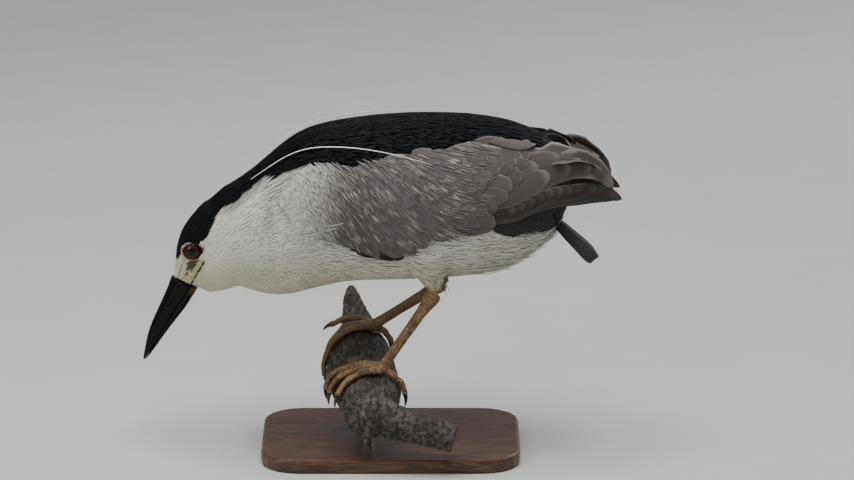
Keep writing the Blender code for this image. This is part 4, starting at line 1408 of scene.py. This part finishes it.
def sculpt_face(points):
    """Sockets that meet the eyeballs, hollow lores, the line of the mouth and the nostrils."""
    back, rise = head_place(points)
    on_head = (points[:, 0] < -140) & (abs(points[:, 1]) > 3)
    side = np.sign(points[:, 1])
    ring = eye_distance(points)
    lid = np.minimum(eyeball_side(points), abs(EYE_CENTRE["left"][1]) + EYE_HALF[1] * 0.5)
    limit = lid - 0.9 + np.clip(ring - 1, 0, 0.9) * 5.5 - np.clip(1.04 - ring, 0, 0.3) * 12
    reach = abs(points[:, 1])
    inside = on_head & (ring < 1.7) & (reach > limit)
    reach = np.where(inside, limit, reach)
    lore = bare_face(points) * smooth_step(back, 6, 12)
    reach = reach - 0.7 * lore
    mouth = np.exp(-(((rise - GAPE_HEIGHT) / 0.9) ** 2))
    reach = reach - 1.1 * mouth * smooth_step(back, 5, 8) * smooth_step(-back, -39, -34)
    nostril = np.exp(-(((back - NOSTRIL[0]) / 2.4) ** 2) - ((rise - NOSTRIL[1]) / 0.8) ** 2)
    reach = reach - 1.3 * nostril
    result = points.copy()
    result[:, 1] = np.where(on_head, side * reach, points[:, 1])
    return result


SCALE_GROOVE = 0.16  # depth of the grooves between the legs' scales


def near_face(points):
    """The part of the head whose faces are cut finer still."""
    back, rise = head_place(points)
    return (back < 46) & (rise > -13) & (rise < 17) & (points[:, 0] < -148)


def leg_skin_form(side):
    """One leg's bare skin, with its small scales worked in."""
    thing = evened(joined_copy(f"leg_{side}", (f"shank_{side}", f"foot_{side}")), LEG_VOXEL, 4)
    points, ways = read_points(thing.data), read_normals(thing.data)
    groove = np.empty(len(points))
    scale_size = bpy.context.scene.heron.bare_parts.scale_size / MM
    for k, point in enumerate(points.tolist()):
        first, second = noise.voronoi(Vector(point) / scale_size)[0][:2]
        groove[k] = second - first
    points -= ways * ((1 - smooth_step(groove, 0, 0.25)) * SCALE_GROOVE)[:, None]
    write_points(thing.data, points)
    return thing


def build_skin():
    """One skin over head, neck, trunk, wings' flesh and legs, under the coat."""
    body = evened(joined_copy("body_flesh", BODY_NODES), SKIN_VOXEL, 8)
    points = read_points(body.data)
    points -= read_normals(body.data) * coat_depth(points)[:, None]
    write_points(body.data, points)
    arms = [wing_arm(side) for side in SIDES]
    skin = evened(joined("skin", [body.data] + [arm.data for arm in arms]), SKIN_VOXEL, 3)
    for spare in [body] + arms:
        bpy.data.objects.remove(spare)
    refined(skin, lambda c: (c[:, 0] < -148) & (c[:, 2] > 138))
    refined(skin, near_face)
    write_points(skin.data, sculpt_face(read_points(skin.data)))
    for side in SIDES:
        leg = leg_skin_form(side)
        join = skin.modifiers.new("leg", "BOOLEAN")
        join.operation = "UNION"
        join.object = leg
        applied(skin)
        bpy.data.objects.remove(leg)
    mesh = skin.data
    mesh.shade_smooth()
    points = read_points(mesh)
    store(mesh, "marking", "FLOAT_COLOR", body_marking(points))
    store(mesh, "face_tone", "FLOAT_COLOR", face_tone(points))
    for material in (downy_skin(), lore_skin(), leg_scales()):
        mesh.materials.append(material)
    centres = np.array([p.center for p in mesh.polygons]) / MM
    knee = max(THIGH_POINTS[side][:, 2].min() for side in SIDES)
    legs = (centres[:, 2] < knee + 4) & (centres[:, 0] > -80)
    back, rise = head_place(centres)
    face = (bare_face(centres) > 0.3) | (eye_distance(centres) < 1.3) | (back < 9) & (rise < 7)
    kinds = np.where(legs, 2, np.where(face & (centres[:, 0] < HEAD_END), 1, 0))
    mesh.polygons.foreach_set("material_index", kinds.astype(np.int32))
    mesh.update()
    paired = [f"{part}_{side}" for side in SIDES for part in ("thigh", "shank", "foot", "wing")]
    finish_piece(skin, "leg_skin", "head", "neck", "trunk", *paired)


def ringed(name, rings, closed):
    """A skin over rings of places, either closed into a loop or with both ends filled."""
    bm = bmesh.new()
    loops = [[bm.verts.new(place * MM) for place in ring] for ring in rings]
    for one, two in zip(loops, loops[1:] + (loops[:1] if closed else [])):
        for j in range(len(one)):
            bm.faces.new((one[j - 1], one[j], two[j], two[j - 1]))
    if not closed:
        bm.faces.new(loops[0])
        bm.faces.new(loops[-1][::-1])
    bmesh.ops.recalc_face_normals(bm, faces=bm.faces)
    return mesh_of(bm, name)


LID_STEPS, LID_SIDES = 72, 10  # round the eye, and round the lid's own section


def ring_tube(name, path, radii):
    """A closed ring of round section through these points."""
    path = np.array(path)
    turns = np.linspace(0, 2 * math.pi, LID_SIDES, endpoint=False)
    rings = []
    for k, radius in enumerate(radii):
        along = unit(path[(k + 1) % len(path)] - path[k - 1])
        out = unit(np.cross(along, (0, 1, 0)))
        side = np.cross(along, out)
        rings.append([path[k] + radius * (out * math.cos(a) + side * math.sin(a)) for a in turns])
    return ringed(name, rings, closed=True)


def build_lids():
    """Bare rings of skin that hold each eyeball: the lids' thin dark edge and a pale fold outside it."""
    for side, sign in SIDES.items():
        centre = EYE_CENTRE[side]
        rings = (("edge", lid_rim(), 1.0, 0.55, 0.15), ("fold", lid_fold(), 1.13, 0.8, 0.1))
        for label, material, grow, thick, proud in rings:
            path, radii = [], []
            turns = np.linspace(0, 2 * math.pi, LID_STEPS, endpoint=False)
            ring = np.column_stack((4 * np.cos(turns), 4 * np.sin(turns), np.full(LID_STEPS, grow)))
            ragged = uneven(ring, 1.0, sign)
            for turn, swell in zip(turns, ragged):
                x = centre[0] + EYE_OPENING[0] * grow * math.cos(turn)
                z = centre[2] + EYE_OPENING[1] * grow * math.sin(turn)
                out = eyeball_side(np.array([[x, 0, z]]))[0]
                out = max(out, abs(centre[1]) + EYE_HALF[1] * 0.42) + proud
                path.append((x, sign * out, z))
                ahead = 0.72 - 0.28 * math.cos(turn - 0.6) if label == "fold" else 0.85
                radii.append(thick * ahead * (1 + 0.35 * swell))
            mesh = ring_tube(f"lid_{label}_{side}", path, radii)
            finish_piece(new_piece(mesh.name, mesh, material), "leg_skin")


GAZE = (-0.6, 0.3)  # how far ahead and up the pupil lies from the eyeball's middle, along X and Z
EYE_BACK = 20  # the hidden half counts as this far from the pupil, past the iris


def build_eyes():
    """Glossy eyeballs, each with its pupil and iris painted in rings round its own axis."""
    for side, sign in SIDES.items():
        bm = bmesh.new()
        bmesh.ops.create_uvsphere(bm, u_segments=64, v_segments=32, radius=1)
        mesh = mesh_of(bm, f"eyeball_{side}")
        points = read_points(mesh) * MM
        points = points[:, (0, 2, 1)] * (1, 1, -1) * EYE_HALF
        away = np.hypot(points[:, 0] - GAZE[0], points[:, 2] - GAZE[1])
        around = np.arctan2(points[:, 2], points[:, 0])
        away = np.where(points[:, 1] * sign > 0, away, EYE_BACK)
        write_points(mesh, points + EYE_CENTRE[side])
        spot = np.column_stack((away, np.cos(around), np.sin(around)))
        store(mesh, "from_pupil", "FLOAT_VECTOR", spot)
        finish_piece(new_piece(f"eyeball_{side}", mesh, glass_eye()), "eye", f"eye_{side}")


BILL_VOXEL, CLAW_VOXEL = 0.45, 0.32
BILL_REGROWTH = 0.12  # put back on the horn after smoothing has taken it off


def build_bill():
    """Both halves of the bill, evened and worked: keel along the culmen, a groove from the nostril."""
    for half in ("bill_upper", "bill_lower"):
        tip = (node_points(half) @ AHEAD).max() - BILL_BACK
        thing = evened(joined_copy(f"{half}_horn", (half,)), BILL_VOXEL, 22)
        points = read_points(thing.data)
        ahead = points @ AHEAD - BILL_BACK
        points += AHEAD * ((tip / ahead.max() - 1) * np.maximum(ahead, 0))[:, None]
        points += read_normals(thing.data) * (BILL_REGROWTH + 0.25 * smooth_step(-ahead, -4, 0))[:, None]
        write_points(thing.data, points)
        ways = read_normals(thing.data)
        back, rise = head_place(points)
        if half == "bill_upper":
            groove = np.exp(-(((rise - read_line(((-60, 1.5), (0, 4)), back)) / 0.9) ** 2))
            groove = groove * smooth_step(back, -40, -8) * (abs(ways[:, 1]) > 0.4)
            write_points(thing.data, points - 0.4 * ways * groove[:, None])
        else:
            back = back + 1.6 * uneven(points, 3.0, 8)
            root_share = 0.6 * smooth_step(back, -4, 4) * smooth_step(-rise, 5.8, 9.5)
            store(thing.data, "root_share", "FLOAT", root_share)
        finish_solid(thing, polished_horn(), "bill_horn", half)


def build_claws():
    """Smooth tapering hooks in place of the faceted ones."""
    for side in SIDES:
        for toe in ("inner", "middle", "outer", "hind"):
            node = f"claw_{side}_{toe}"
            thing = evened(joined_copy(f"{node}_horn", (node,)), CLAW_VOXEL, 3)
            finish_solid(thing, claw_horn(), "claw_horn", node)


def build_plumes():
    """Three long white nape feathers, each a narrow folded vane that tapers to a hair."""
    for name in ("plume_left", "plume_top", "plume_right"):
        mesh = plume_mesh(f"{name}_vane", ring_centres(node_points(name)))
        finish_piece(new_piece(mesh.name, mesh, white_keratin()), "plume", name)


def ring_centres(points):
    """The centres of a faceted tube's rings, from its front end."""
    points = points[np.argsort(points[:, 0])]
    groups = [[points[0]]]
    for point in points[1:]:
        if np.linalg.norm(point - np.mean(groups[-1], 0)) > 3:
            groups.append([])
        groups[-1].append(point)
    return np.array([np.unique(np.round(g, 3), axis=0).mean(0) for g in groups])


PLUME_STATIONS = 60
PLUME_SECTION = (  # round the folded vane: across, as a share of its half width; up, as a share of its width
    (-1, 0.084), (-0.5, 0.21), (0, 0.112), (0.5, 0.21), (1, 0.084), (0.5, -0.014), (0, -0.14), (-0.5, -0.014),
)


def plume_mesh(name, centres):
    """One plume along the line of its solid's centres."""
    width = bpy.context.scene.heron.plumage.plume_width / MM
    line = resampled(centres, PLUME_STATIONS)
    for _ in range(6):
        line[1:-1] = (line[:-2] + 2 * line[1:-1] + line[2:]) / 4
    rings = []
    for k, point in enumerate(line):
        share = k / (PLUME_STATIONS - 1)
        along = unit(line[min(k + 1, PLUME_STATIONS - 1)] - line[max(k - 1, 0)])
        out = point - (point[0], 0, np.interp(point[0], STATIONS, STATION_ROWS[:, :2].mean(1)))
        out = unit(out - along * np.dot(out, along))
        side = np.cross(out, along)
        half = width / 2 * (0.55 + 0.45 * smooth_step(share, 0, 0.15)) * (1 - 0.8 * share ** 2.5)
        rings.append([point + side * half * across + out * width * high for across, high in PLUME_SECTION])
    return ringed(name, rings, closed=False)


# ---------------------------------------------------------------- wings and tail

WING_TIP = (214, 229)  # the wing's feathers draw together towards this place, x and z


def lie_of_wing(points):
    """Coverts fall steeply over the shoulder and turn back; behind, every vane draws to the wing's tip."""
    x, _, z = points.T
    fall = np.radians(read_line(((-95, 62), (-60, 54), (0, 50), (50, 38), (100, 20)), x))
    fall = fall * (1 - 0.6 * smooth_step(z, 250, 285))
    front = np.column_stack((np.cos(fall), np.zeros(len(x)), -np.sin(fall)))
    target = WING_TIP[1] + 0.3 * (z - WING_TIP[1])
    rear = np.column_stack((np.maximum(WING_TIP[0] - x, 15), np.zeros(len(x)), target - z))
    share = smooth_step(x, 10, 105)[:, None]
    return front * (1 - share) + unit(rear) * share


def covert_length(x):
    """How long the wing's coverts are at this X."""
    return read_line(((-95, 12), (-60, 16), (-20, 22), (20, 30), (60, 40)), x)


def over_wing(side, roots, length):
    """Whether feathers from these roots end on the wing and not below its lower edge."""
    ends = roots + unit(lie_of_wing(roots)) * (length * 0.92)[:, None]
    edge = on_wing(side, ends[:, 0], np.zeros(len(ends)))[:, 2]
    return ends[:, 2] > edge - 1.0 - 3.0 * smooth_step(roots[:, 0], 40, 60)


def covert_roots(side, rng):
    """Roots of the coverts in slanting rows, small over the shoulder and broad behind."""
    roots = []
    x, odd = -74.0, 0
    while x < 70:
        length = covert_length(x)
        pitch = length * 0.26
        height = 0.0
        while height < 105:
            share = (height + odd * pitch / 2) / read_line(((-94, 20), (-60, 75), (0, 100), (100, 85)), x)
            behind = x + 0.42 * (height - 45) + rng.normal(0, 0.09 * length)
            roots.append((behind, share + rng.normal(0, 0.008)))
            height += pitch * rng.uniform(0.85, 1.15)
        x += length * 0.22
        odd = 1 - odd
    roots = np.array(roots)
    inside = (roots[:, 1] > 0) & (roots[:, 1] < 0.985) & (roots[:, 0] > -76) & (roots[:, 0] < 86)
    return on_wing(side, *roots[inside].T)


FLIGHT_COUNT, SECONDARY_COUNT, TERTIAL_COUNT, POCKET_COUNT = 14, 8, 9, 7
QUILL_STEPS = 18


def wing_paths(side, starts, ends):
    """Lines over the wing's outer face, from one place (x, share of the way up) to another."""
    shares = np.linspace(0, 1, QUILL_STEPS)[None, :, None]
    places = starts[:, None] * (1 - shares) + ends[:, None] * shares
    return on_wing(side, places[..., 0], places[..., 1])


def wing_height(side, x):
    """From the wing's lower edge to its upper one at this X, over its outer face."""
    span = on_wing(side, x, np.ones_like(x)) - on_wing(side, x, np.zeros_like(x))
    return np.linalg.norm(span, axis=-1)


def build_flight(side, rng):
    """Secondaries and primaries, of which the closed wing shows the lower edges and the tips. The quills
    start ever further back, the primaries' tips crowd at the wing's end, and all lie along its lower edge."""
    step = np.arange(FLIGHT_COUNT)
    inward = FLIGHT_COUNT - 1 - step
    root_x = 18 + 5.6 * step
    tip_x = np.where(step < SECONDARY_COUNT, 108 + 8.2 * step, 199.5 - 1.6 * inward ** 1.6)
    run = np.linspace(0, 1, QUILL_STEPS)
    x = root_x[:, None] + (tip_x - root_x)[:, None] * run
    above_edge = (5.5 + 1.0 * inward)[:, None] + 16 * (1 - run) ** 3
    paths = on_wing(side, x, np.minimum(above_edge / wing_height(side, x), 0.55))
    mesh = blades(
        f"flight_feathers_{side}", wing_form(side), rng, paths[:, 0], None, tip_x - root_x, 14.0, -2.6,
        -0.7 - 0.07 * step, tip=0.24, grid=(7, QUILL_STEPS), roll=0.2, thick=0.22, rim=0.3, camber=0.1,
        fray=0.012, marking=flight_marking(0.42), paths=paths,
    )
    finish_feathers(mesh, "wing_feathers", f"wing_{side}")


def build_tertials(side, rng):
    """Long broad inner feathers that roof the folded wing as far as its tip and in over the rump."""
    step = np.arange(TERTIAL_COUNT)
    up = 0.84 - 0.06 * ((step * 4) % TERTIAL_COUNT)
    starts = np.column_stack((30 + 7.5 * step, up))
    ends = np.column_stack((118 + 9.2 * step, 0.28 + 0.58 * up))
    paths = wing_paths(side, starts, ends)
    width = np.minimum(27, 0.7 * wing_height(side, ends[:, 0] - 20))
    mesh = blades(
        f"tertials_{side}", wing_form(side), rng, paths[:, 0], None, ends[:, 0] - starts[:, 0], width, -2.0,
        np.linspace(-0.3, -0.7, TERTIAL_COUNT), tip=0.4, grid=(9, QUILL_STEPS), roll=0.18, thick=0.2, rim=0.6,
        camber=0.15, fray=0.02, paths=paths,
    )
    finish_feathers(mesh, "wing_feathers")


def build_coverts(side, rng):
    """The rows of broad feathers between the soft shoulder and the flight feathers, finer ones in front."""
    roots = covert_roots(side, rng)
    length = covert_length(roots[:, 0]) * rng.uniform(0.9, 1.1, len(roots))
    kept = over_wing(side, roots, length)
    roots, length = roots[kept], length[kept]
    small = roots[:, 0] < -12
    for label, picked, grid in (("lesser_coverts", small, (5, 8)), ("greater_coverts", ~small, (7, 12))):
        mesh = blades(
            f"{label}_{side}", wing_form(side), rng, roots[picked], lie_of_wing, length[picked],
            length[picked] * 0.5, -1.6, -0.1, tip=0.6, grid=grid, roll=0.1, thick=0.16, rim=0.3, camber=0.22,
            turn=0.1, fray=0.09,
        )
        finish_feathers(mesh, "wing_feathers")


def wing_tufts(label, side, rng, roots, length, width, marking, depth=0.7, jitter=0.09, over=0.1):
    """Tufts over the wing's outer face, which lie as its coverts do."""
    form = wing_form(side)
    mesh = tufts(
        f"{label}_{side}", form, rng, roots, lie_of_wing, length, width, depth, jitter, marking, over=over
    )
    finish_feathers(mesh, "wing_feathers")


def build_fore_wing(side, rng):
    """Small soft feathers that cover the shoulder of the wing and run out among the coverts."""
    def apart(points):
        return 1.7 + 2.6 * smooth_step(points[:, 0], -66, -28)

    def keep(points, ways):
        return (points[:, 0] < -22) & (beside_wing(points) < 1.2)

    roots = wing_form(side).scatter(rng, apart, keep)
    length = rng.uniform(11, 16, len(roots))
    kept = over_wing(side, roots, length)
    roots, length = roots[kept], length[kept]
    marking = wing_marking(roots)
    marking[:, 1] *= rng.uniform(0.75, 1.0, len(roots))
    width = rng.uniform(1.4, 2.3, len(roots))
    wing_tufts("fore_wing", side, rng, roots, length, width, marking, depth=1.2, over=0.25)


CLUMP_BARBS = 4


def build_barbs(side, rng):
    """Loose barbs along the coverts: most of the wing's own grey, and small clumps nearly white, partly
    bleached and partly painted highlight.
    """
    look = bpy.context.scene.heron.plumage
    loose, clumps = look.loose_barbs, look.pale_highlight_clumps
    x = -60 + 140 * rng.random(loose) ** 1.2
    roots = on_wing(side, x, rng.uniform(0.05, 0.97, loose))
    marking = wing_marking(roots)
    marking[:, 1] *= rng.uniform(0.8, 1.0, loose)
    length = rng.uniform(8, 17, loose)
    kept = over_wing(side, roots, length)
    width = rng.uniform(0.6, 1.2, loose)
    wing_tufts("grey_barbs", side, rng, roots[kept], length[kept], width[kept], marking[kept])

    # Near-white clumps: partly bleached barbs, partly painted highlights for the glint along the quills.
    middles = on_wing(side, -66 + 130 * rng.random(clumps), rng.uniform(0.08, 0.95, clumps))
    middles = np.repeat(middles, CLUMP_BARBS, 0)
    count = len(middles)
    spread = rng.normal(0, 1.6, count)
    roots = wing_form(side).nearest(middles + np.column_stack((spread, np.zeros(count), spread)))[0]
    marking = as_marking(np.zeros(count), rng.uniform(0.4, 0.85, count), np.full(count, 0.2))
    length = rng.uniform(8, 14, count)
    kept = over_wing(side, roots, length)
    width = rng.uniform(0.4, 0.75, count)
    wing_tufts(
        "pale_barbs_and_highlights", side, rng, roots[kept], length[kept], width[kept], marking[kept],
        depth=0.5, jitter=0.05, over=0.2,
    )


WING_SEED, TAIL_SEED, TAIL_COVERT_SEED = 20, 40, 41


def build_wing(side, seed):
    """Every piece of one wing's plumage, which share one run of random numbers."""
    rng = np.random.default_rng(seed)
    build_flight(side, rng)
    build_tertials(side, rng)
    build_coverts(side, rng)
    build_fore_wing(side, rng)
    build_barbs(side, rng)
    build_shade_pocket(side, rng)
    build_scapular(side, rng)


def build_shade_pocket(side, rng):
    """Ends of feathers under the wing's front edge, painted dark as the shade that falls there."""
    step = np.linspace(0, 1, POCKET_COUNT)
    edge = on_wing(side, -40 + 34 * step, np.zeros(POCKET_COUNT))
    edge[:, 1] -= 2 * SIDES[side]
    edge[:, 2] += 1.5 - 4.5 * np.sin(math.pi * step)
    # Painted shade: the dark marking stands for the shade under the wing's front edge.
    mesh = blades(
        f"under_wing_shade_{side}", body_form(), rng, body_form().nearest(edge)[0], straight((1.0, 0, 0.06)),
        25 - 7 * step, 9.0, 0.3, 0.9, tip=0.55, grid=(5, 8), roll=0.1, thick=0.2, rim=0.1, camber=0.2,
        marking=flight_marking(0.6),
    )
    finish_feathers(mesh, "wing_feathers")


def build_scapular(side, rng):
    """One long grey shoulder feather, slender in front, that has slipped out over the black of the back."""
    sign = SIDES[side]
    root = whole_form().nearest(np.array([[84 if sign < 0 else 99, sign * 37, 288]]))[0]
    mesh = blades(
        f"loose_scapular_{side}", whole_form(), rng, root, straight((1.0, -sign * 0.06, -0.12)), 43.0, 11.0,
        0.3, 1.5, tip=0.35, grid=(7, 14), roll=0.0, thick=0.25, rim=0.5, camber=0.3, fray=0.0,
        marking=(0.1, 0.97, 0.45, 1.0), opening=(0.05, 0.75),
    )
    finish_feathers(mesh, "wing_feathers")


TAIL_ROOT, TAIL_END = np.array((104.0, 0, 235)), np.array((177.0, 0, 167.5))
TAIL_PAIRS, TAIL_STEPS = 6, 16


def tail_frame():
    """The tail's long direction and the way up from its fan."""
    along = unit(TAIL_END - TAIL_ROOT)
    return along, np.array((-along[2], 0, along[0]))


def tail_grid():
    """Places on the upper face of the tail's solid, along it and across it."""
    along, up = tail_frame()
    tree = solid_tree("tail")
    points = node_points("tail")
    reach = (points - TAIL_ROOT) @ along
    rows = []
    for distance in np.linspace(reach.min() + 1, reach.max() - 0.5, TAIL_STEPS):
        near = points[abs(reach - distance) < 10]
        half = abs(near[:, 1]).max() * 0.96
        row = []
        for share in np.linspace(-1, 1, 13):
            start = TAIL_ROOT + along * distance + np.array((0, half * share, 0)) + up * 60
            hit = tree.ray_cast(start, -up)[0]
            row.append(np.array(hit) if hit is not None else row[-1] if row else start - up * 60)
        rows.append(row)
    rows = np.array(rows)
    return calmed((rows + rows[:, ::-1] * (1, -1, 1)) / 2, 1)


def build_tail():
    """Twelve tail feathers fanned over one another, the middle pair on top."""
    grid = tail_grid()
    form = overhung(grid, (3, 3.0), (4, 4.0), tail_frame()[1])
    pair = np.repeat(np.arange(TAIL_PAIRS)[::-1], 2)
    spread = np.tile((-1.0, 1.0), TAIL_PAIRS) * (pair + 0.5) / TAIL_PAIRS
    along = np.linspace(0, 1, TAIL_STEPS)[None] * (1 - 0.018 * pair)[:, None]
    paths = on_grid(grid, along, 0.5 + 0.5 * spread[:, None] * (0.5 + 0.42 * along))
    mesh = blades(
        "tail_feathers", form, np.random.default_rng(TAIL_SEED), paths[:, 0], None, 56.0, 16.0,
        -0.9 - 0.25 * pair, -0.1 - 0.22 * pair, tip=0.2, grid=(7, TAIL_STEPS), roll=0.0, thick=0.2, rim=0.1,
        camber=0.1, fray=0.012, marking=flight_marking(0.5), paths=paths,
    )
    finish_feathers(mesh, "tail_feathers", "tail")


def build_tail_coverts():
    """Feathers on each side of the tail's root, which run back from under the folded wing, painted dark as
    the shade there.
    """
    rng = np.random.default_rng(TAIL_COVERT_SEED)
    for side, sign in SIDES.items():
        x, z = np.meshgrid(np.arange(92, 146, 6.0), (211, 218, 225, 232, 239))
        x, z = x.ravel() + rng.normal(0, 1.5, x.size), z.ravel() + rng.normal(0, 1, x.size)
        roots = body_form().nearest(np.column_stack((x, np.full(x.size, sign * 70), z)))[0]
        # Painted shade: the dark marking stands for the shade under the folded wing.
        mesh = blades(
            f"tail_coverts_{side}", body_form(), rng, roots, straight((1.0, 0, -0.42)),
            rng.uniform(26, 32, len(roots)), 11.0, 0.0, 0.8, tip=0.45, grid=(5, 9), roll=0.1, thick=0.2,
            rim=0.2, camber=0.25, turn=0.05, marking=flight_marking(0.55),
        )
        finish_feathers(mesh, "tail_feathers")


# ---------------------------------------------------------------- perch and stand

BARK_VOXEL = 1.0


def build_perch():
    """Weathered bark: long shallow furrows along the branch, knots and small chips."""
    thing = evened(joined_copy("branch", ("perch",)), BARK_VOXEL, 3)
    points, ways = read_points(thing.data), read_normals(thing.data)
    depth = np.empty(len(points))
    for k, point in enumerate(points.tolist()):
        stretched = Vector((point[0] / 7, point[1] / 26, point[2] / 7))
        furrow = abs(noise.noise(stretched * 1.6))
        coarse = noise.noise(stretched * 0.7 + Vector((4, 1, 7)))
        chips = noise.noise(Vector(point) / 2.3)
        depth[k] = -1.0 * (1 - smooth_step(furrow, 0, 0.2)) + 0.3 * coarse + 0.16 * chips - 0.1
    write_points(thing.data, points + ways * np.minimum(depth, 0.15)[:, None])
    finish_solid(thing, weathered_bark(), "bark", "perch")


def dress_stand():
    """The stand's own solids, with their wood and steel."""
    for node, made_of in (("base", oiled_walnut), ("rod_1", brushed_steel), ("rod_2", brushed_steel)):
        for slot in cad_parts[f"stand_{node}"].material_slots:
            slot.link = "OBJECT"
            slot.material = made_of()


# ---------------------------------------------------------------- floor, light and camera

VIEW_AIM = Vector((0.0315, 0, 0.187))  # what the camera looks at, in metres
LAMP_AIM = Vector((0, 0, 0.15))  # and the lamps
VIEW_LENS, VIEW_SENSOR = 200, 36  # in millimetres


def add_lamp(name, place, size, power):
    """A soft lamp at this place, in metres, turned to the bird."""
    data = bpy.data.lights.new(name, "AREA")
    data.shape = "RECTANGLE"
    data.size, data.size_y = size
    data.energy = power
    made = bpy.data.objects.new(name, data)
    bpy.context.scene.collection.objects.link(made)
    made.location = place
    made.rotation_euler = (LAMP_AIM - Vector(place)).to_track_quat("-Z", "Y").to_euler()


def add_camera(elevation, distance):
    """The camera, level with the bird's length and a little above it."""
    look = Vector((0, math.cos(elevation), -math.sin(elevation)))
    data = bpy.data.cameras.new("camera")
    data.lens, data.sensor_width = VIEW_LENS, VIEW_SENSOR
    camera = bpy.data.objects.new("camera", data)
    bpy.context.scene.collection.objects.link(camera)
    camera.location = VIEW_AIM - look * distance
    camera.rotation_euler = look.to_track_quat("-Z", "Y").to_euler()
    bpy.context.scene.camera = camera


def build_stage():
    """A plain pale floor, soft studio light and the camera."""
    look = bpy.context.scene.heron.studio
    bm = bmesh.new()
    bmesh.ops.create_grid(bm, x_segments=1, y_segments=1, size=FLOOR_REACH)
    new_piece("floor", mesh_of(bm, "floor"), matt_paper())

    world = bpy.data.worlds.new("studio")
    bpy.context.scene.world = world
    world.use_nodes = True
    background = world.node_tree.nodes["Background"]
    background.inputs["Color"].default_value = look.sky
    background.inputs["Strength"].default_value = look.sky_strength
    add_lamp("overhead", (-0.2, -0.3, 2.2), (1.8, 1.4), look.key_power)
    add_lamp("front_left", (-1.6, -2.0, 1.3), (1.0, 1.2), look.fill_power)
    add_lamp("rear_edge", (1.5, 1.8, 1.5), (1.0, 1.0), look.fill_power)
    add_camera(look.elevation, look.distance)


# ---------------------------------------------------------------- the add-on

class HERON_OT_stage(bpy.types.Operator):
    """Lay the floor and set the lamps and the camera"""

    bl_idname = "heron.stage"
    bl_label = "Stage"

    def execute(self, context):
        build_stage()
        return {"FINISHED"}


class HERON_OT_skin(bpy.types.Operator):
    """Make the one skin that stands for head, neck, trunk, thighs, legs and the wings' flesh"""

    bl_idname = "heron.skin"
    bl_label = "Skin"

    def execute(self, context):
        build_skin()
        return {"FINISHED"}


class HERON_OT_eyes(bpy.types.Operator):
    """Make the eyes, and the lids round them"""

    bl_idname = "heron.eyes"
    bl_label = "Eyes and lids"

    def execute(self, context):
        build_lids()
        build_eyes()
        return {"FINISHED"}


class HERON_OT_horn(bpy.types.Operator):
    """Make the bill and the claws"""

    bl_idname = "heron.horn"
    bl_label = "Bill and claws"

    def execute(self, context):
        build_bill()
        build_claws()
        return {"FINISHED"}


class HERON_OT_coat(bpy.types.Operator):
    """Feather the head, neck, trunk and thighs"""

    bl_idname = "heron.coat"
    bl_label = "Body feathers"

    def execute(self, context):
        build_coats()
        return {"FINISHED"}


class HERON_OT_plumes(bpy.types.Operator):
    """Make the three long nape plumes"""

    bl_idname = "heron.plumes"
    bl_label = "Nape plumes"

    def execute(self, context):
        build_plumes()
        return {"FINISHED"}


class HERON_OT_wings(bpy.types.Operator):
    """Feather both folded wings"""

    bl_idname = "heron.wings"
    bl_label = "Wing feathers"

    def execute(self, context):
        for seed, side in enumerate(SIDES, WING_SEED):
            build_wing(side, seed)
        return {"FINISHED"}


class HERON_OT_tail(bpy.types.Operator):
    """Make the tail's fan and the feathers over its root"""

    bl_idname = "heron.tail"
    bl_label = "Tail feathers"

    def execute(self, context):
        build_tail()
        build_tail_coverts()
        return {"FINISHED"}


class HERON_OT_perch(bpy.types.Operator):
    """Make the cut branch"""

    bl_idname = "heron.perch"
    bl_label = "Branch"

    def execute(self, context):
        build_perch()
        return {"FINISHED"}


class HERON_OT_stand(bpy.types.Operator):
    """Finish the stand's wood and steel"""

    bl_idname = "heron.stand"
    bl_label = "Stand"

    def execute(self, context):
        dress_stand()
        return {"FINISHED"}


OPERATORS = (
    HERON_OT_stage, HERON_OT_skin, HERON_OT_eyes, HERON_OT_horn, HERON_OT_plumes,
    HERON_OT_coat, HERON_OT_wings, HERON_OT_tail, HERON_OT_perch, HERON_OT_stand,
)


class HERON_PT_sidebar(bpy.types.Panel):
    """Every step in its order, then what a user may change"""

    bl_idname = "HERON_PT_sidebar"
    bl_label = "Night heron"
    bl_space_type = "VIEW_3D"
    bl_region_type = "UI"
    bl_category = "Heron"

    def draw(self, context):
        for operator in OPERATORS:
            self.layout.operator(operator.bl_idname)
        heron = context.scene.heron
        for group in (heron.plumage, heron.bare_parts, heron.stand, heron.studio):
            box = self.layout.box()
            for setting in type(group).__annotations__:
                box.prop(group, setting)


SETTINGS = (PlumageSettings, BarePartSettings, StandSettings, StudioSettings, HeronSettings)
CLASSES = (*SETTINGS, *OPERATORS, HERON_PT_sidebar)


def register():
    for part in CLASSES:
        bpy.utils.register_class(part)
    bpy.types.Scene.heron = bpy.props.PointerProperty(type=HeronSettings)


def unregister():
    del bpy.types.Scene.heron
    for part in reversed(CLASSES):
        bpy.utils.unregister_class(part)


def main():
    """Makes every piece in order."""
    register()
    bpy.ops.heron.stage()
    bpy.ops.heron.skin()
    bpy.ops.heron.eyes()
    bpy.ops.heron.horn()
    bpy.ops.heron.plumes()
    bpy.ops.heron.coat()
    bpy.ops.heron.wings()
    bpy.ops.heron.tail()
    bpy.ops.heron.perch()
    bpy.ops.heron.stand()


if __name__ == "__main__":
    main()
